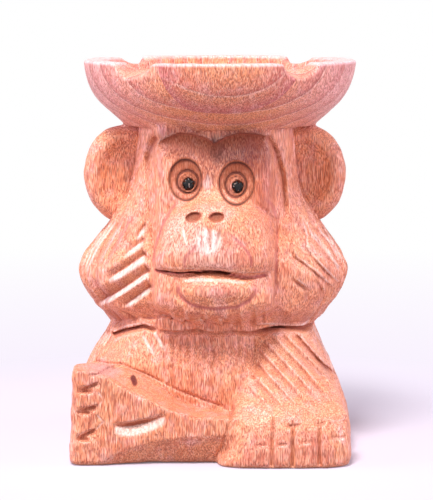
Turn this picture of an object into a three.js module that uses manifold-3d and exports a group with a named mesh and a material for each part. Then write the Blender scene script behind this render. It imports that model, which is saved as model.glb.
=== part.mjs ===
// Carved wooden monkey that squats on its haunches and carries a notched dish on its head.
// Millimetres, +Z up. The monkey faces -Y, and left and right are those of a person facing it.
// The carving is divided along the carver's stop cuts into solids that meet at glue lines.
import * as THREE from "three";
import { mergeVertices } from "three/addons/utils/BufferGeometryUtils.js";
import Module from "manifold-3d";

const wasm = await Module();
wasm.setup();

// Heights, stacked from the base up to the rim
const BODY_HEIGHT = 35; // base to the neck joint
const HEM_TO_FLARE = 19.5; // neck joint to the widest part of the hair
const FLARE_TO_EAR = 15; // widest part of the hair to the foot of the ears
const EAR_TO_SEAT = 28.5; // foot of the ears to the seat of the dish
const DISH_HEIGHT = 22; // seat of the dish to its rim
const GAP = 0.3; // glue line between neighbouring pieces

const NECK_Z = BODY_HEIGHT;
const FLARE_Z = NECK_Z + HEM_TO_FLARE;
const EAR_FOOT_Z = FLARE_Z + FLARE_TO_EAR;
const SEAT_Z = EAR_FOOT_Z + EAR_TO_SEAT;
const RIM_Z = SEAT_Z + DISH_HEIGHT;

// Dish
const DISH_X = 1.5; // the dish stands a little to the right of the face
const DISH_RIM_RADIUS = 41.8;
const DISH_SEAT_RADIUS = 29.5;
const DISH_RIM_WALL = 5.6;
const DISH_FLOOR_THICKNESS = 9;
const DISH_FLOOR_RADIUS = 20;
const DISH_WAIST_RADIUS = 39.6; // the outside bends towards this corner between seat and rim
const DISH_WAIST_HEIGHT = 8.5;
const DISH_HOLLOW = 9; // depth to which the inside falls steeply before it bends to the floor
const NOTCH_AZIMUTHS = [-41, 35, 138, -133]; // degrees from the front, positive to the right
const NOTCH_WIDTH = 17;
const NOTCH_DEPTH = 5.4;
const NOTCH_ROUND = 4; // half width of the round floor that a cigarette lies in

// Hood of hair round the head, from its hem to its crown
const HOOD = {
  hem: { x: 0, halfWidth: 31.5, front: 24, back: 29, square: 2.4 },
  flare: { x: -0.6, halfWidth: 42.2, front: 29, back: 34, square: 2.3 },
  ear: { x: 0, halfWidth: 33.4, front: 26, back: 31, square: 2.7 },
  temple: { x: 0, halfWidth: 26.6, front: 24.5, back: 28, square: 3.2 },
  crown: { x: 0.5, halfWidth: 23.8, front: 23.5, back: 25, square: 3.6 },
};
const TEMPLE_RISE = 12; // foot of the ears to the temples
const COMB_START = 62; // degrees from the front, on either side, at which the combed hair starts
const COMB_GROOVES = 28; // round the sides and back of the hood
const COMB_DEPTH = 1;
const LOCK_RADIUS = 1.4; // of the gouge cuts that part the locks of hair
const LOCK_RUN_OUT = 0.2; // share of that radius left at the ends of a cut
// Gouge cuts in the hair, each from x and height to x and height in the front view,
// with heights measured from the widest part of the hair
const LEFT_LOCKS = [
  [-21.8, 11.6, -27.5, 8],
  [-21.6, 7.7, -31.7, 0.7],
  [-20.6, 2.8, -34.1, -5.4],
  [-20.6, -1.2, -30.6, -7.3],
];
const RIGHT_LOCKS = [
  [29.3, 12.8, 38.4, -1.4],
  [26.4, 11.8, 35.9, -3.3],
  [24.8, 7.1, 33.7, -4.2],
];
// Gouge cuts in the right haunch, with heights measured from the base
const HAUNCH_LOCKS = [
  [23, 33.5, 37.2, 20.1],
  [18.5, 34, 35.3, 18],
  [14.6, 34, 32.2, 16.8],
  [12.9, 31, 26.8, 16.5],
];

// Face, a flat-fronted slab between the two sides of the hood
const FACE_HALF_WIDTH = 20;
const FACE_SQUARE = 4.5;
const FACE_CHIN_DEPTH = 27;
const FACE_CHEEK_DEPTH = 30.5;
const FACE_BROW_DEPTH = 28.5;
const FACE_CREASE_DEPTH = 20; // floor of the stop cuts beside the face

// Muzzle and jaw, on either side of the mouth
const MOUTH_RISE = 3.7; // widest part of the hair to the mouth
const MOUTH_Z = FLARE_Z + MOUTH_RISE;
const MOUTH_GAP = 1.4;
const MOUTH_HALF_WIDTH = 18.4;
const LIP_DEPTH = 37.4; // from the axis of the head to the front of the lips
const LIP_SWELL_DEPTH = 1.4; // how far the upper lip swells past its edge
const LIP_HEIGHT = 5;
const NOSE_HEIGHT = 15.5; // mouth to the nostrils
const NOSE_HALF_WIDTH = 15.6;
const NOSE_DEPTH = 36.6;
const SNOUT_HEIGHT = 20.5; // mouth to the roots of the nose
const SNOUT_HALF_WIDTH = 10.5;
const SNOUT_DEPTH = 33;
const BRIDGE_HEIGHT = 24.5; // mouth to the top of the nose
const BRIDGE_HALF_WIDTH = 5;
const JAW_HEIGHT = 17.5; // mouth to the underside of the chin
const CHIN_HEIGHT = 6; // underside of the chin to its fullest width
const CHIN_HALF_WIDTH = 10;
const CHIN_DEPTH = 32;
const MUZZLE_SQUARE = 2.6;
const MUZZLE_ROOT_DEPTH = 24; // where the sides of the muzzle sink into the face
const LOWER_LIP = { halfWidth: 11.5, halfHeight: 4.4, below: 5.7, proud: 1.9 };
const NOSTRIL = { halfWidth: 2.3, halfHeight: 1.2, depth: 1.8, apart: 6.8, x: -2.8 };

// Eyes, ringed round an inlaid pupil
const LEFT_EYE_RISE = 15.4; // foot of the ears to the middle of the eye
const RIGHT_EYE_RISE = 14.5;
const LEFT_EYE = { x: -8.7, z: EAR_FOOT_Z + LEFT_EYE_RISE };
const RIGHT_EYE = { x: 6.5, z: EAR_FOOT_Z + RIGHT_EYE_RISE };
const EYE_OUTER_RADIUS = 4.8; // half the width of the outer ring
const EYE_INNER_RADIUS = 3;
const EYE_STRETCH = 1.15; // height of a ring over its width
const EYE_GROOVE = 0.8; // depth and half width of the ring grooves
const PUPIL_X = 0.5; // the pupil's place from the middle of the eye
const PUPIL_Z = -1.1;
const PUPIL_RADIUS = 1.5;
const PUPIL_LENGTH = 5;

// Ears
const EAR = { halfWidth: 12, halfHeight: 15.2, halfDepth: 5.5, x: 28.7, y: -3 };
const EAR_CUP = { rim: 3.2, depth: 4.2 };

// Lower body
const TORSO = {
  base: { halfWidth: 33, front: 25, back: 38, square: 2.6 },
  belly: { halfWidth: 33, front: 28.5, back: 37.5, square: 2.5 },
  chest: { halfWidth: 29, front: 29.5, back: 34, square: 2.4 },
  neck: { halfWidth: 26, front: 27, back: 28, square: 2.3 },
};
const BELLY_Z = 14;
const CHEST_Z = 26;
const HAUNCH_RIGHT = {
  base: { x: 23.1, halfWidth: 19.6, front: 36.5, back: 29, square: 2.6 },
  knee: { x: 22.8, halfWidth: 19, front: 36, back: 28, square: 2.5 },
  thigh: { x: 21.5, halfWidth: 15.5, front: 32.5, back: 22, square: 2.4 },
  top: { x: 18.6, halfWidth: 12, front: 27, back: 14, square: 2.2 },
};
const HAUNCH_LEFT = {
  base: { x: -22, halfWidth: 21.2, front: 24, back: 29, square: 2.6 },
  knee: { x: -22, halfWidth: 21, front: 25, back: 28, square: 2.5 },
  thigh: { x: -20.5, halfWidth: 19.6, front: 26, back: 22, square: 2.3 },
  top: { x: -16, halfWidth: 12.5, front: 25.5, back: 14, square: 2.2 },
};
const KNEE_Z = 11;
const THIGH_RIGHT_Z = 22.5;
const THIGH_LEFT_Z = 26;

// Left foot, turned sideways with its sole to the front; knots are x and height
const SOLE_TOE_X = -44;
const SOLE_HEEL_X = 3.2;
const SOLE_FRONT = 38.4;
const SOLE_CALF_FRONT = 27;
const SOLE_BACK = 14;
const SOLE_BEVEL = 0.8;
const HEEL_HEIGHT = 15;
const SOLE_RIDGE = [[-42.6, 28.4], [-34.2, 28], [-26.8, 23.8], [-14.9, 17.7], [-6, 15.3]];
const SOLE_CALF = [[-43.2, 28.6], [-34.8, 30.3], [-25.7, 27.8], [-16.7, 22.6], [-7.6, 17.3]];
const UNDERCUT_X = -36; // where the cove under the sole starts
const UNDERCUT_CROWN_X = -24; // the arch of the cove bends towards this point
const UNDERCUT_HEIGHT = 9.6;
const UNDERCUT_DEPTH = 4.5;
const TOE_GOUGE = { length: 12, width: 3.6, depth: 2.2, tilt: 26 };
const TOE_GOUGES = [{ x: -40.6, z: 22.2 }, { x: -41, z: 15.8 }, { x: -41.4, z: 8.6 }];
const ARCH_GOUGE = { length: 17, width: 4.4, depth: 1.8, tilt: 12, x: -22, z: 12.6 };

// Right foot, with its toes to the front
const FOOT = {
  sole: { x: 22.3, y: -30, halfWidth: 18.8, front: 12.4, back: 6, square: 4 },
  toes: { x: 22.3, y: -30, halfWidth: 18.6, front: 12, back: 6, square: 4 },
  top: { x: 22.3, y: -30, halfWidth: 17.8, front: 8.8, back: 6, square: 4 },
};
const TOE_HEIGHT = 15.5;
const TOE_CUTS_X = [16.8, 23.3, 31.2];
const TOE_CUT_WIDTH = 3;
const TOE_CUT_DEPTH = 2;

// Fineness of the faceted surfaces
const RING_POINTS = 44;
const RING_STEPS = 12;
const DISH_SEGMENTS = 60;
const EYE_SEGMENTS = 24;
const UNDERCUT_STEPS = 8;
const LOCK_STEPS = 6;
const LOCK_SIDES = 6;
const FAR = 200; // a cutter this size reaches past the whole figure

const WOOD = new THREE.MeshStandardMaterial({ color: 0xd9976c, roughness: 0.55, metalness: 0 });
const EBONY = new THREE.MeshStandardMaterial({ color: 0x17120f, roughness: 0.4, metalness: 0 });

// A closed three.js geometry as a solid that can be joined and cut
function solid(geometry) {
  const bare = geometry.index ? geometry.toNonIndexed() : geometry.clone();
  bare.deleteAttribute("normal");
  bare.deleteAttribute("uv");
  const merged = mergeVertices(bare, 1e-4);
  return new wasm.Manifold(
    new wasm.Mesh({
      numProp: 3,
      vertProperties: merged.attributes.position.array,
      triVerts: new Uint32Array(merged.index.array),
    }),
  );
}

function geometryOf(made) {
  const { vertProperties, triVerts } = made.getMesh();
  const geometry = new THREE.BufferGeometry();
  geometry.setAttribute("position", new THREE.BufferAttribute(vertProperties, 3));
  geometry.setIndex(new THREE.BufferAttribute(triVerts, 1));
  geometry.computeVertexNormals();
  return geometry;
}

function cutAway(made, cuts) {
  return cuts.reduce((left, cut) => left.subtract(cut), made);
}

function box(low, high) {
  const size = new THREE.Vector3(...high).sub(new THREE.Vector3(...low));
  const middle = new THREE.Vector3(...high).add(new THREE.Vector3(...low)).divideScalar(2);
  const geometry = new THREE.BoxGeometry(size.x, size.y, size.z);
  return solid(geometry.translate(middle.x, middle.y, middle.z));
}

function ellipsoid(radii, centre, fineness = 20) {
  const geometry = new THREE.SphereGeometry(1, fineness, Math.round(fineness / 2));
  geometry.rotateX(Math.PI / 2);
  return solid(geometry.scale(...radii).translate(...centre));
}

// Skins a row of rings, each a list of as many points, and closes both ends with a fan
function stack(rings) {
  const count = rings[0].length;
  const points = rings.flat();
  const faces = [];
  for (let r = 0; r < rings.length - 1; r++) {
    for (let i = 0; i < count; i++) {
      const a = r * count + i;
      const b = r * count + ((i + 1) % count);
      faces.push(a, b, b + count, a, b + count, a + count);
    }
  }
  for (const [ring, start, end] of [[rings[0], 0, -1], [rings.at(-1), points.length - count, 1]]) {
    const middle = ring.reduce((sum, p) => sum.add(p), new THREE.Vector3()).divideScalar(count);
    const hub = points.push(middle) - 1;
    for (let i = 0; i < count; i++) {
      const here = start + i;
      const next = start + ((i + 1) % count);
      faces.push(...(end > 0 ? [here, next, hub] : [next, here, hub]));
    }
  }
  const geometry = new THREE.BufferGeometry().setFromPoints(points);
  return geometry.setIndex(faces);
}

// The section at a share of the way up a list of sections, on a smooth curve through them
function sectionAt(sections, share) {
  const found = {};
  for (const key of Object.keys(sections[0])) {
    const knots = sections.map((section, i) => new THREE.Vector2(i, section[key]));
    found[key] = new THREE.SplineCurve(knots).getPoint(share).y;
  }
  return found;
}

// A squared-off ellipse in a level plane, which may be deeper to the front than to the back
function levelRing({ x = 0, y = 0, z, halfWidth, front, back, square }, grow) {
  const bend = 2 / square;
  return Array.from({ length: RING_POINTS }, (_, i) => {
    const turn = (2 * Math.PI * i) / RING_POINTS;
    const across = Math.sign(Math.cos(turn)) * Math.abs(Math.cos(turn)) ** bend;
    const along = Math.sign(Math.sin(turn)) * Math.abs(Math.sin(turn)) ** bend;
    const depth = (along < 0 ? front : back) + grow;
    return new THREE.Vector3(x + across * (halfWidth + grow), y + along * depth, z);
  });
}

// The same ellipse, smooth over the front and grooved like combed hair round the sides and back
function combedRing({ x, z, halfWidth, front, back, square }, grow) {
  const start = THREE.MathUtils.degToRad(COMB_START);
  const end = 2 * Math.PI - start;
  const spread = (from, to, count) =>
    Array.from({ length: count }, (_, i) => THREE.MathUtils.lerp(from, to, i / count));
  const smooth = spread(-start, start, RING_POINTS / 2).map((turn) => [turn, 0]);
  const combed = spread(start, end, 2 * COMB_GROOVES).map((turn, i) => [turn, (i % 2) * COMB_DEPTH]);
  return [...smooth, ...combed].map(([turn, groove]) => {
    const across = Math.sin(turn);
    const along = -Math.cos(turn);
    const depth = (along < 0 ? front : back) + grow;
    const total = Math.abs(across / (halfWidth + grow)) ** square + Math.abs(along / depth) ** square;
    const reach = total ** (-1 / square) - groove;
    return new THREE.Vector3(x + reach * across, reach * along, z);
  });
}

// A solid skinned over level sections from the lowest to the highest, grown all round if asked
function skin(sections, grow = 0, ringOf = levelRing) {
  const rings = [];
  for (let step = 0; step <= RING_STEPS; step++) {
    rings.push(ringOf(sectionAt(sections, step / RING_STEPS), grow));
  }
  for (const point of rings[0]) point.z -= grow;
  for (const point of rings.at(-1)) point.z += grow;
  return solid(stack(rings));
}

// Dish: a turned bowl with a notch for a cigarette between each pair of lobes
function notch(azimuth) {
  const half = NOTCH_WIDTH / 2;
  const shape = new THREE.Shape();
  shape.moveTo(-half, NOTCH_DEPTH);
  shape.lineTo(-half, 0);
  shape.bezierCurveTo(-half + NOTCH_ROUND / 2, 0, -NOTCH_ROUND, -NOTCH_DEPTH, 0, -NOTCH_DEPTH);
  shape.bezierCurveTo(NOTCH_ROUND, -NOTCH_DEPTH, half - NOTCH_ROUND / 2, 0, half, 0);
  shape.lineTo(half, NOTCH_DEPTH);
  const depth = DISH_RIM_RADIUS;
  const geometry = new THREE.ExtrudeGeometry(shape, { depth, bevelEnabled: false, curveSegments: 7 });
  geometry.translate(0, 0, DISH_RIM_RADIUS / 2);
  const turn = THREE.MathUtils.degToRad(azimuth);
  const out = new THREE.Vector3(Math.sin(turn), -Math.cos(turn), 0);
  const across = new THREE.Vector3(Math.cos(turn), Math.sin(turn), 0);
  const frame = new THREE.Matrix4().makeBasis(across, new THREE.Vector3(0, 0, 1), out);
  frame.setPosition(DISH_X, 0, RIM_Z);
  return solid(geometry.applyMatrix4(frame));
}

function dishBlank(grow = 0) {
  const seat = SEAT_Z + GAP;
  const floor = seat + DISH_FLOOR_THICKNESS;
  const lip = DISH_RIM_RADIUS - DISH_RIM_WALL;
  const outside = new THREE.QuadraticBezierCurve(
    new THREE.Vector2(DISH_SEAT_RADIUS + grow, seat - grow),
    new THREE.Vector2(DISH_WAIST_RADIUS + grow, seat + DISH_WAIST_HEIGHT),
    new THREE.Vector2(DISH_RIM_RADIUS + grow, RIM_Z),
  );
  const inside = new THREE.QuadraticBezierCurve(
    new THREE.Vector2(lip, RIM_Z),
    new THREE.Vector2(lip, RIM_Z - DISH_HOLLOW),
    new THREE.Vector2(DISH_FLOOR_RADIUS, floor),
  );
  const profile = [
    new THREE.Vector2(0, seat - grow),
    ...outside.getPoints(8),
    ...inside.getPoints(7),
    new THREE.Vector2(0, floor),
  ];
  const geometry = new THREE.LatheGeometry(profile, DISH_SEGMENTS);
  return solid(geometry.rotateX(Math.PI / 2).translate(DISH_X, 0, 0));
}

function dish() {
  return cutAway(dishBlank(), NOTCH_AZIMUTHS.map(notch));
}

// Head: the hood of hair is one form, which the two stop cuts beside the face divide
function hood(grow = 0) {
  return skin(
    [
      { z: NECK_Z + GAP, ...HOOD.hem },
      { z: FLARE_Z, ...HOOD.flare },
      { z: EAR_FOOT_Z, ...HOOD.ear },
      { z: EAR_FOOT_Z + TEMPLE_RISE, ...HOOD.temple },
      { z: SEAT_Z, ...HOOD.crown },
    ],
    grow,
    combedRing,
  );
}

function face(grow = 0) {
  const slab = { halfWidth: FACE_HALF_WIDTH - GAP / 2, back: FACE_HALF_WIDTH, square: FACE_SQUARE };
  return skin(
    [
      { z: NECK_Z + GAP, front: FACE_CHIN_DEPTH, ...slab },
      { z: FLARE_Z, front: FACE_CHEEK_DEPTH, ...slab },
      { z: SEAT_Z, front: FACE_BROW_DEPTH, ...slab },
    ],
    grow,
  );
}

// An eye's two ring grooves and the hole of its pupil, sunk from the front
function eyeCut(eye, surface) {
  const ring = (radius) => {
    const profile = [
      new THREE.Vector2(radius - EYE_GROOVE, EYE_GROOVE),
      new THREE.Vector2(radius, -EYE_GROOVE),
      new THREE.Vector2(radius + EYE_GROOVE, EYE_GROOVE),
      new THREE.Vector2(radius - EYE_GROOVE, EYE_GROOVE),
    ];
    const geometry = new THREE.LatheGeometry(profile, EYE_SEGMENTS).rotateX(Math.PI);
    return solid(geometry.scale(1, 1, EYE_STRETCH).translate(eye.x, -surface, eye.z));
  };
  return ring(EYE_OUTER_RADIUS).add(ring(EYE_INNER_RADIUS)).add(pupil(eye, surface, GAP));
}

function pupil(eye, surface, grow = 0) {
  const radius = PUPIL_RADIUS + grow;
  const length = PUPIL_LENGTH + grow;
  const geometry = new THREE.CylinderGeometry(radius, radius, length, EYE_SEGMENTS);
  return solid(geometry.translate(eye.x + PUPIL_X, length / 2 - surface, eye.z + PUPIL_Z));
}

// Depth of a solid's front surface at a point of the front view
function frontAt(made, { x, z }) {
  const probe = box([x - GAP, -FAR, z - GAP], [x + GAP, 0, z + GAP]);
  return -made.intersect(probe).boundingBox().min[1];
}

// A gouge cut that follows a surface between two points of the front view and runs out at both ends
function lockCut(made, [x1, z1, x2, z2], level) {
  const path = Array.from({ length: LOCK_STEPS + 1 }, (_, i) => {
    const x = THREE.MathUtils.lerp(x1, x2, i / LOCK_STEPS);
    const z = level + THREE.MathUtils.lerp(z1, z2, i / LOCK_STEPS);
    return new THREE.Vector3(x, -frontAt(made, { x, z }), z);
  });
  const along = path.at(-1).clone().sub(path[0]).normalize();
  const side = along.clone().cross(new THREE.Vector3(0, -1, 0)).normalize();
  const out = side.clone().cross(along);
  const rings = path.map((point, i) => {
    const radius = LOCK_RADIUS * Math.max(Math.sin((Math.PI * i) / LOCK_STEPS), LOCK_RUN_OUT);
    return Array.from({ length: LOCK_SIDES }, (_, k) => {
      const turn = (2 * Math.PI * k) / LOCK_SIDES;
      const edge = point.clone().addScaledVector(out, radius * Math.cos(turn));
      return edge.addScaledVector(side, radius * Math.sin(turn));
    });
  });
  return solid(stack(rings));
}

function carveLocks(made, locks, level) {
  return cutAway(made, locks.map((lock) => lockCut(made, lock, level)));
}

function headBlank() {
  const half = FACE_HALF_WIDTH - GAP / 2;
  return hood().intersect(box([-half, -FACE_CREASE_DEPTH, 0], [half, FAR, FAR])).add(face());
}

function mane(side) {
  const inner = FACE_HALF_WIDTH + GAP / 2;
  const reach = side < 0 ? [-FAR, -inner] : [inner, FAR];
  return hood().intersect(box([reach[0], -FAR, 0], [reach[1], FAR, FAR]));
}

// Muzzle: bell-shaped from the front, from the upper lip to the bridge of the nose
function muzzle() {
  const root = { x: 0, y: -MUZZLE_ROOT_DEPTH, back: GAP, square: MUZZLE_SQUARE };
  const low = MOUTH_Z + MOUTH_GAP / 2;
  const bell = skin([
    { z: low, halfWidth: MOUTH_HALF_WIDTH, front: LIP_DEPTH - MUZZLE_ROOT_DEPTH, ...root },
    {
      z: low + LIP_HEIGHT,
      halfWidth: MOUTH_HALF_WIDTH,
      front: LIP_DEPTH + LIP_SWELL_DEPTH - MUZZLE_ROOT_DEPTH,
      ...root,
    },
    { z: low + NOSE_HEIGHT, halfWidth: NOSE_HALF_WIDTH, front: NOSE_DEPTH - MUZZLE_ROOT_DEPTH, ...root },
    { z: low + SNOUT_HEIGHT, halfWidth: SNOUT_HALF_WIDTH, front: SNOUT_DEPTH - MUZZLE_ROOT_DEPTH, ...root },
    {
      z: low + BRIDGE_HEIGHT,
      halfWidth: BRIDGE_HALF_WIDTH,
      front: FACE_BROW_DEPTH - MUZZLE_ROOT_DEPTH,
      ...root,
    },
  ]);
  const z = low + NOSE_HEIGHT;
  return [-1, 1].reduce((made, side) => {
    const x = NOSTRIL.x + (side * NOSTRIL.apart) / 2;
    const radii = [NOSTRIL.halfWidth, NOSTRIL.depth, NOSTRIL.halfHeight];
    return made.subtract(ellipsoid(radii, [x, -frontAt(bell, { x, z }), z], 14));
  }, bell.subtract(face(GAP)));
}

// Jaw: from the mouth to the chin, with a full lower lip
function jaw() {
  const root = { x: 0, y: -MUZZLE_ROOT_DEPTH, back: GAP, square: MUZZLE_SQUARE };
  const high = MOUTH_Z - MOUTH_GAP / 2;
  const chin = skin([
    {
      z: high - JAW_HEIGHT,
      halfWidth: CHIN_HALF_WIDTH,
      front: CHIN_DEPTH - MUZZLE_ROOT_DEPTH,
      ...root,
    },
    {
      z: high - JAW_HEIGHT + CHIN_HEIGHT,
      halfWidth: MOUTH_HALF_WIDTH,
      front: LIP_DEPTH - MUZZLE_ROOT_DEPTH,
      ...root,
    },
    {
      z: high,
      halfWidth: MOUTH_HALF_WIDTH,
      front: LIP_DEPTH - LIP_SWELL_DEPTH - MUZZLE_ROOT_DEPTH,
      ...root,
    },
  ]);
  const z = MOUTH_Z - LOWER_LIP.below;
  const deep = LOWER_LIP.proud * 2;
  const lip = ellipsoid(
    [LOWER_LIP.halfWidth, deep, LOWER_LIP.halfHeight],
    [0, LOWER_LIP.proud - frontAt(chin, { x: 0, z }), z],
  );
  return chin.add(lip).subtract(face(GAP)).subtract(box([-FAR, -FAR, high], [FAR, FAR, FAR]));
}

// Ears: upright discs cupped to the front, standing out of the hair under the dish
function ear(side) {
  const z = EAR_FOOT_Z + EAR.halfHeight;
  const x = side * EAR.x;
  const disc = ellipsoid([EAR.halfWidth, EAR.halfDepth, EAR.halfHeight], [x, EAR.y, z], 26);
  const cup = ellipsoid(
    [EAR.halfWidth - EAR_CUP.rim, EAR_CUP.depth, EAR.halfHeight - EAR_CUP.rim],
    [x, EAR.y - EAR.halfDepth, z],
    22,
  );
  return disc.subtract(cup).subtract(hood(GAP)).subtract(dishBlank(GAP));
}

// Lower body
function torso(grow = 0) {
  return skin(
    [
      { z: 0, ...TORSO.base },
      { z: BELLY_Z, ...TORSO.belly },
      { z: CHEST_Z, ...TORSO.chest },
      { z: NECK_Z, ...TORSO.neck },
    ],
    grow,
  );
}

function haunch(sections, thighZ, grow = 0) {
  return skin(
    [
      { z: 0, ...sections.base },
      { z: KNEE_Z, ...sections.knee },
      { z: thighZ, ...sections.thigh },
      { z: NECK_Z, ...sections.top },
    ],
    grow,
  );
}

const haunchLeft = (grow) => haunch(HAUNCH_LEFT, THIGH_LEFT_Z, grow);
const haunchRight = (grow) => haunch(HAUNCH_RIGHT, THIGH_RIGHT_Z, grow);

function footRight() {
  const { sole, toes, top } = FOOT;
  return skin([
    { z: 0, ...sole },
    { z: TOE_HEIGHT / 2, ...toes },
    { z: TOE_HEIGHT, ...top },
  ]);
}

// A four-sided bar that leaves a V cut down the front of the toes
function toeCut(x) {
  const lean = Math.atan2(FOOT.sole.front - FOOT.top.front, TOE_HEIGHT);
  const bar = new THREE.CylinderGeometry(1, 1, 2 * TOE_HEIGHT, 4);
  bar.scale(TOE_CUT_WIDTH / 2, 1, TOE_CUT_DEPTH).rotateX(Math.PI / 2 - lean);
  const middle = FOOT.toes.y - (FOOT.sole.front + FOOT.top.front) / 2;
  return solid(bar.translate(x, middle, TOE_HEIGHT / 2));
}

// The sole's outline at one depth, clockwise from the front, closed along the base
function soleOutline(top, y, inset) {
  const shape = new THREE.Shape();
  const crest = [...top, [SOLE_HEEL_X, HEEL_HEIGHT]].map(([x, z]) => new THREE.Vector2(x, z - inset));
  shape.moveTo(SOLE_TOE_X + inset, 0);
  shape.lineTo(crest[0].x + inset, crest[0].y);
  shape.splineThru(crest.slice(1));
  shape.lineTo(SOLE_HEEL_X - inset, 0);
  return shape.getPoints(4).map((point) => new THREE.Vector3(point.x, y, point.y));
}

function footLeft() {
  const made = solid(
    stack([
      soleOutline(SOLE_RIDGE, -SOLE_FRONT, SOLE_BEVEL),
      soleOutline(SOLE_RIDGE, SOLE_BEVEL - SOLE_FRONT, 0),
      soleOutline(SOLE_CALF, -SOLE_CALF_FRONT, 0),
      soleOutline(SOLE_CALF, -SOLE_BACK, 0),
    ]),
  );
  const gouges = TOE_GOUGES.map(({ x, z }) => gouge(TOE_GOUGE, x, z));
  gouges.push(gouge(ARCH_GOUGE, ARCH_GOUGE.x, ARCH_GOUGE.z), soleUndercut());
  return cutAway(made, gouges);
}

// A boat-shaped gouge cut in the sole
function gouge({ length, width, depth, tilt }, x, z) {
  const boat = new THREE.SphereGeometry(1, 14, 8).scale(length / 2, depth, width / 2);
  return solid(boat.rotateY(-THREE.MathUtils.degToRad(tilt)).translate(x, -SOLE_FRONT, z));
}

// The cove under the sole: it deepens to the heel and runs out along an arch on the sole's face
function soleUndercut() {
  const arch = new THREE.QuadraticBezierCurve(
    new THREE.Vector2(UNDERCUT_X, 0),
    new THREE.Vector2(UNDERCUT_CROWN_X, UNDERCUT_HEIGHT),
    new THREE.Vector2(SOLE_HEEL_X + GAP, UNDERCUT_HEIGHT),
  );
  const outline = arch.getPoints(UNDERCUT_STEPS);
  for (const x of [SOLE_HEEL_X + GAP, UNDERCUT_X]) outline.push(new THREE.Vector2(x, -UNDERCUT_HEIGHT));
  const ringAt = (inward) =>
    outline.map(({ x, y }) => {
      const depth = THREE.MathUtils.mapLinear(x, UNDERCUT_X, SOLE_HEEL_X, GAP, UNDERCUT_DEPTH);
      return new THREE.Vector3(x, depth * inward - SOLE_FRONT, y < 0 ? y : y * (1 - inward));
    });
  return solid(stack([ringAt(-1), ringAt(1)]));
}

const headMade = headBlank();
const leftEyeDepth = frontAt(headMade, LEFT_EYE);
const rightEyeDepth = frontAt(headMade, RIGHT_EYE);
const eyeCuts = [eyeCut(LEFT_EYE, leftEyeDepth), eyeCut(RIGHT_EYE, rightEyeDepth)];
const footLeftSeats = [haunchLeft(GAP), haunchRight(GAP), torso(GAP)];
const footRightCuts = [...TOE_CUTS_X.map(toeCut), haunchRight(GAP), torso(GAP)];
const pieces = [
  ["dish", dish(), WOOD],
  ["head", cutAway(headMade, eyeCuts), WOOD],
  ["muzzle", muzzle(), WOOD],
  ["jaw", jaw(), WOOD],
  ["ear_left", ear(-1), WOOD],
  ["ear_right", ear(1), WOOD],
  ["mane_left", carveLocks(mane(-1), LEFT_LOCKS, FLARE_Z), WOOD],
  ["mane_right", carveLocks(mane(1), RIGHT_LOCKS, FLARE_Z), WOOD],
  ["torso", torso(), WOOD],
  ["haunch_left", haunchLeft().subtract(torso(GAP)), WOOD],
  ["haunch_right", carveLocks(haunchRight(), HAUNCH_LOCKS, 0).subtract(torso(GAP)), WOOD],
  ["foot_left", cutAway(footLeft(), footLeftSeats), WOOD],
  ["foot_right", cutAway(footRight(), footRightCuts), WOOD],
  ["pupil_left", pupil(LEFT_EYE, leftEyeDepth), EBONY],
  ["pupil_right", pupil(RIGHT_EYE, rightEyeDepth), EBONY],
];

// The origin is the middle of the base
const figure = new THREE.Group();
for (const [name, made, material] of pieces) {
  const mesh = new THREE.Mesh(geometryOf(made), material.clone());
  mesh.name = name;
  figure.add(mesh);
}
const extent = new THREE.Box3().setFromObject(figure);
const middle = extent.getCenter(new THREE.Vector3());
figure.position.set(-middle.x, -middle.y, -extent.min.z);
const monkey = new THREE.Group();
monkey.add(figure);

export default monkey;
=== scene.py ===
"""Looks of the carved wooden monkey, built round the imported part.

Each CAD node is stood for by one carved piece. All pieces are cut from one field of distances that
describes the whole carving, so that their surfaces run on across the joints. Lengths inside the
carving are millimetres in the carving's own frame, whose front is -Y; FRAME_SHIFT takes them to the
frame of the part.
"""

import math

import bpy
import numpy as np
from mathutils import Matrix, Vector


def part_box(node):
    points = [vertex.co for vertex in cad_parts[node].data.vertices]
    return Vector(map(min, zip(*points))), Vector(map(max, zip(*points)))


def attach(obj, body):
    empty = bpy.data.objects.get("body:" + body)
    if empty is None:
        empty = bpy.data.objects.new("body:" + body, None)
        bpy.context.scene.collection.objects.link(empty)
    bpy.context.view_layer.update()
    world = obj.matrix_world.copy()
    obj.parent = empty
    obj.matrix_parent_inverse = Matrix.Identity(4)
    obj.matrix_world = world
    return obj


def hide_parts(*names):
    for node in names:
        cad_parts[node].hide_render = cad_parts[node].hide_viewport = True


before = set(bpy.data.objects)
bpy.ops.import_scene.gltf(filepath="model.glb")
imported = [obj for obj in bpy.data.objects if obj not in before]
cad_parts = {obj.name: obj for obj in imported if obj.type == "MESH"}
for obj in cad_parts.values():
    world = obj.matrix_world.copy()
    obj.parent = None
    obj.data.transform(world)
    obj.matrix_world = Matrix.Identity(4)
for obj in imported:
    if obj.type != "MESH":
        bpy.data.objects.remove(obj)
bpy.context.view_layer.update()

MM = 0.001
SMALL = np.float32(1e-6)
random = np.random.default_rng(7)

# Heights and sizes of the carving, as in the part
NECK_Z = 35.0
FLARE_Z = 54.5
EAR_FOOT_Z = 69.5
TEMPLE_Z = 81.5
SEAT_Z = 98.0
DISH_EDGE_Z = 100.0
RIM_Z = 120.0
FACE_HALF_WIDTH = 20.0
MOUTH_Z = 58.2
DISH_X = 1.5

dish_low, dish_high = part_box("dish")
FRAME_SHIFT = np.array([
    (dish_low.x + dish_high.x) / 2 / MM - DISH_X,
    (dish_low.y + dish_high.y) / 2 / MM,
    0.0,
])

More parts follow.
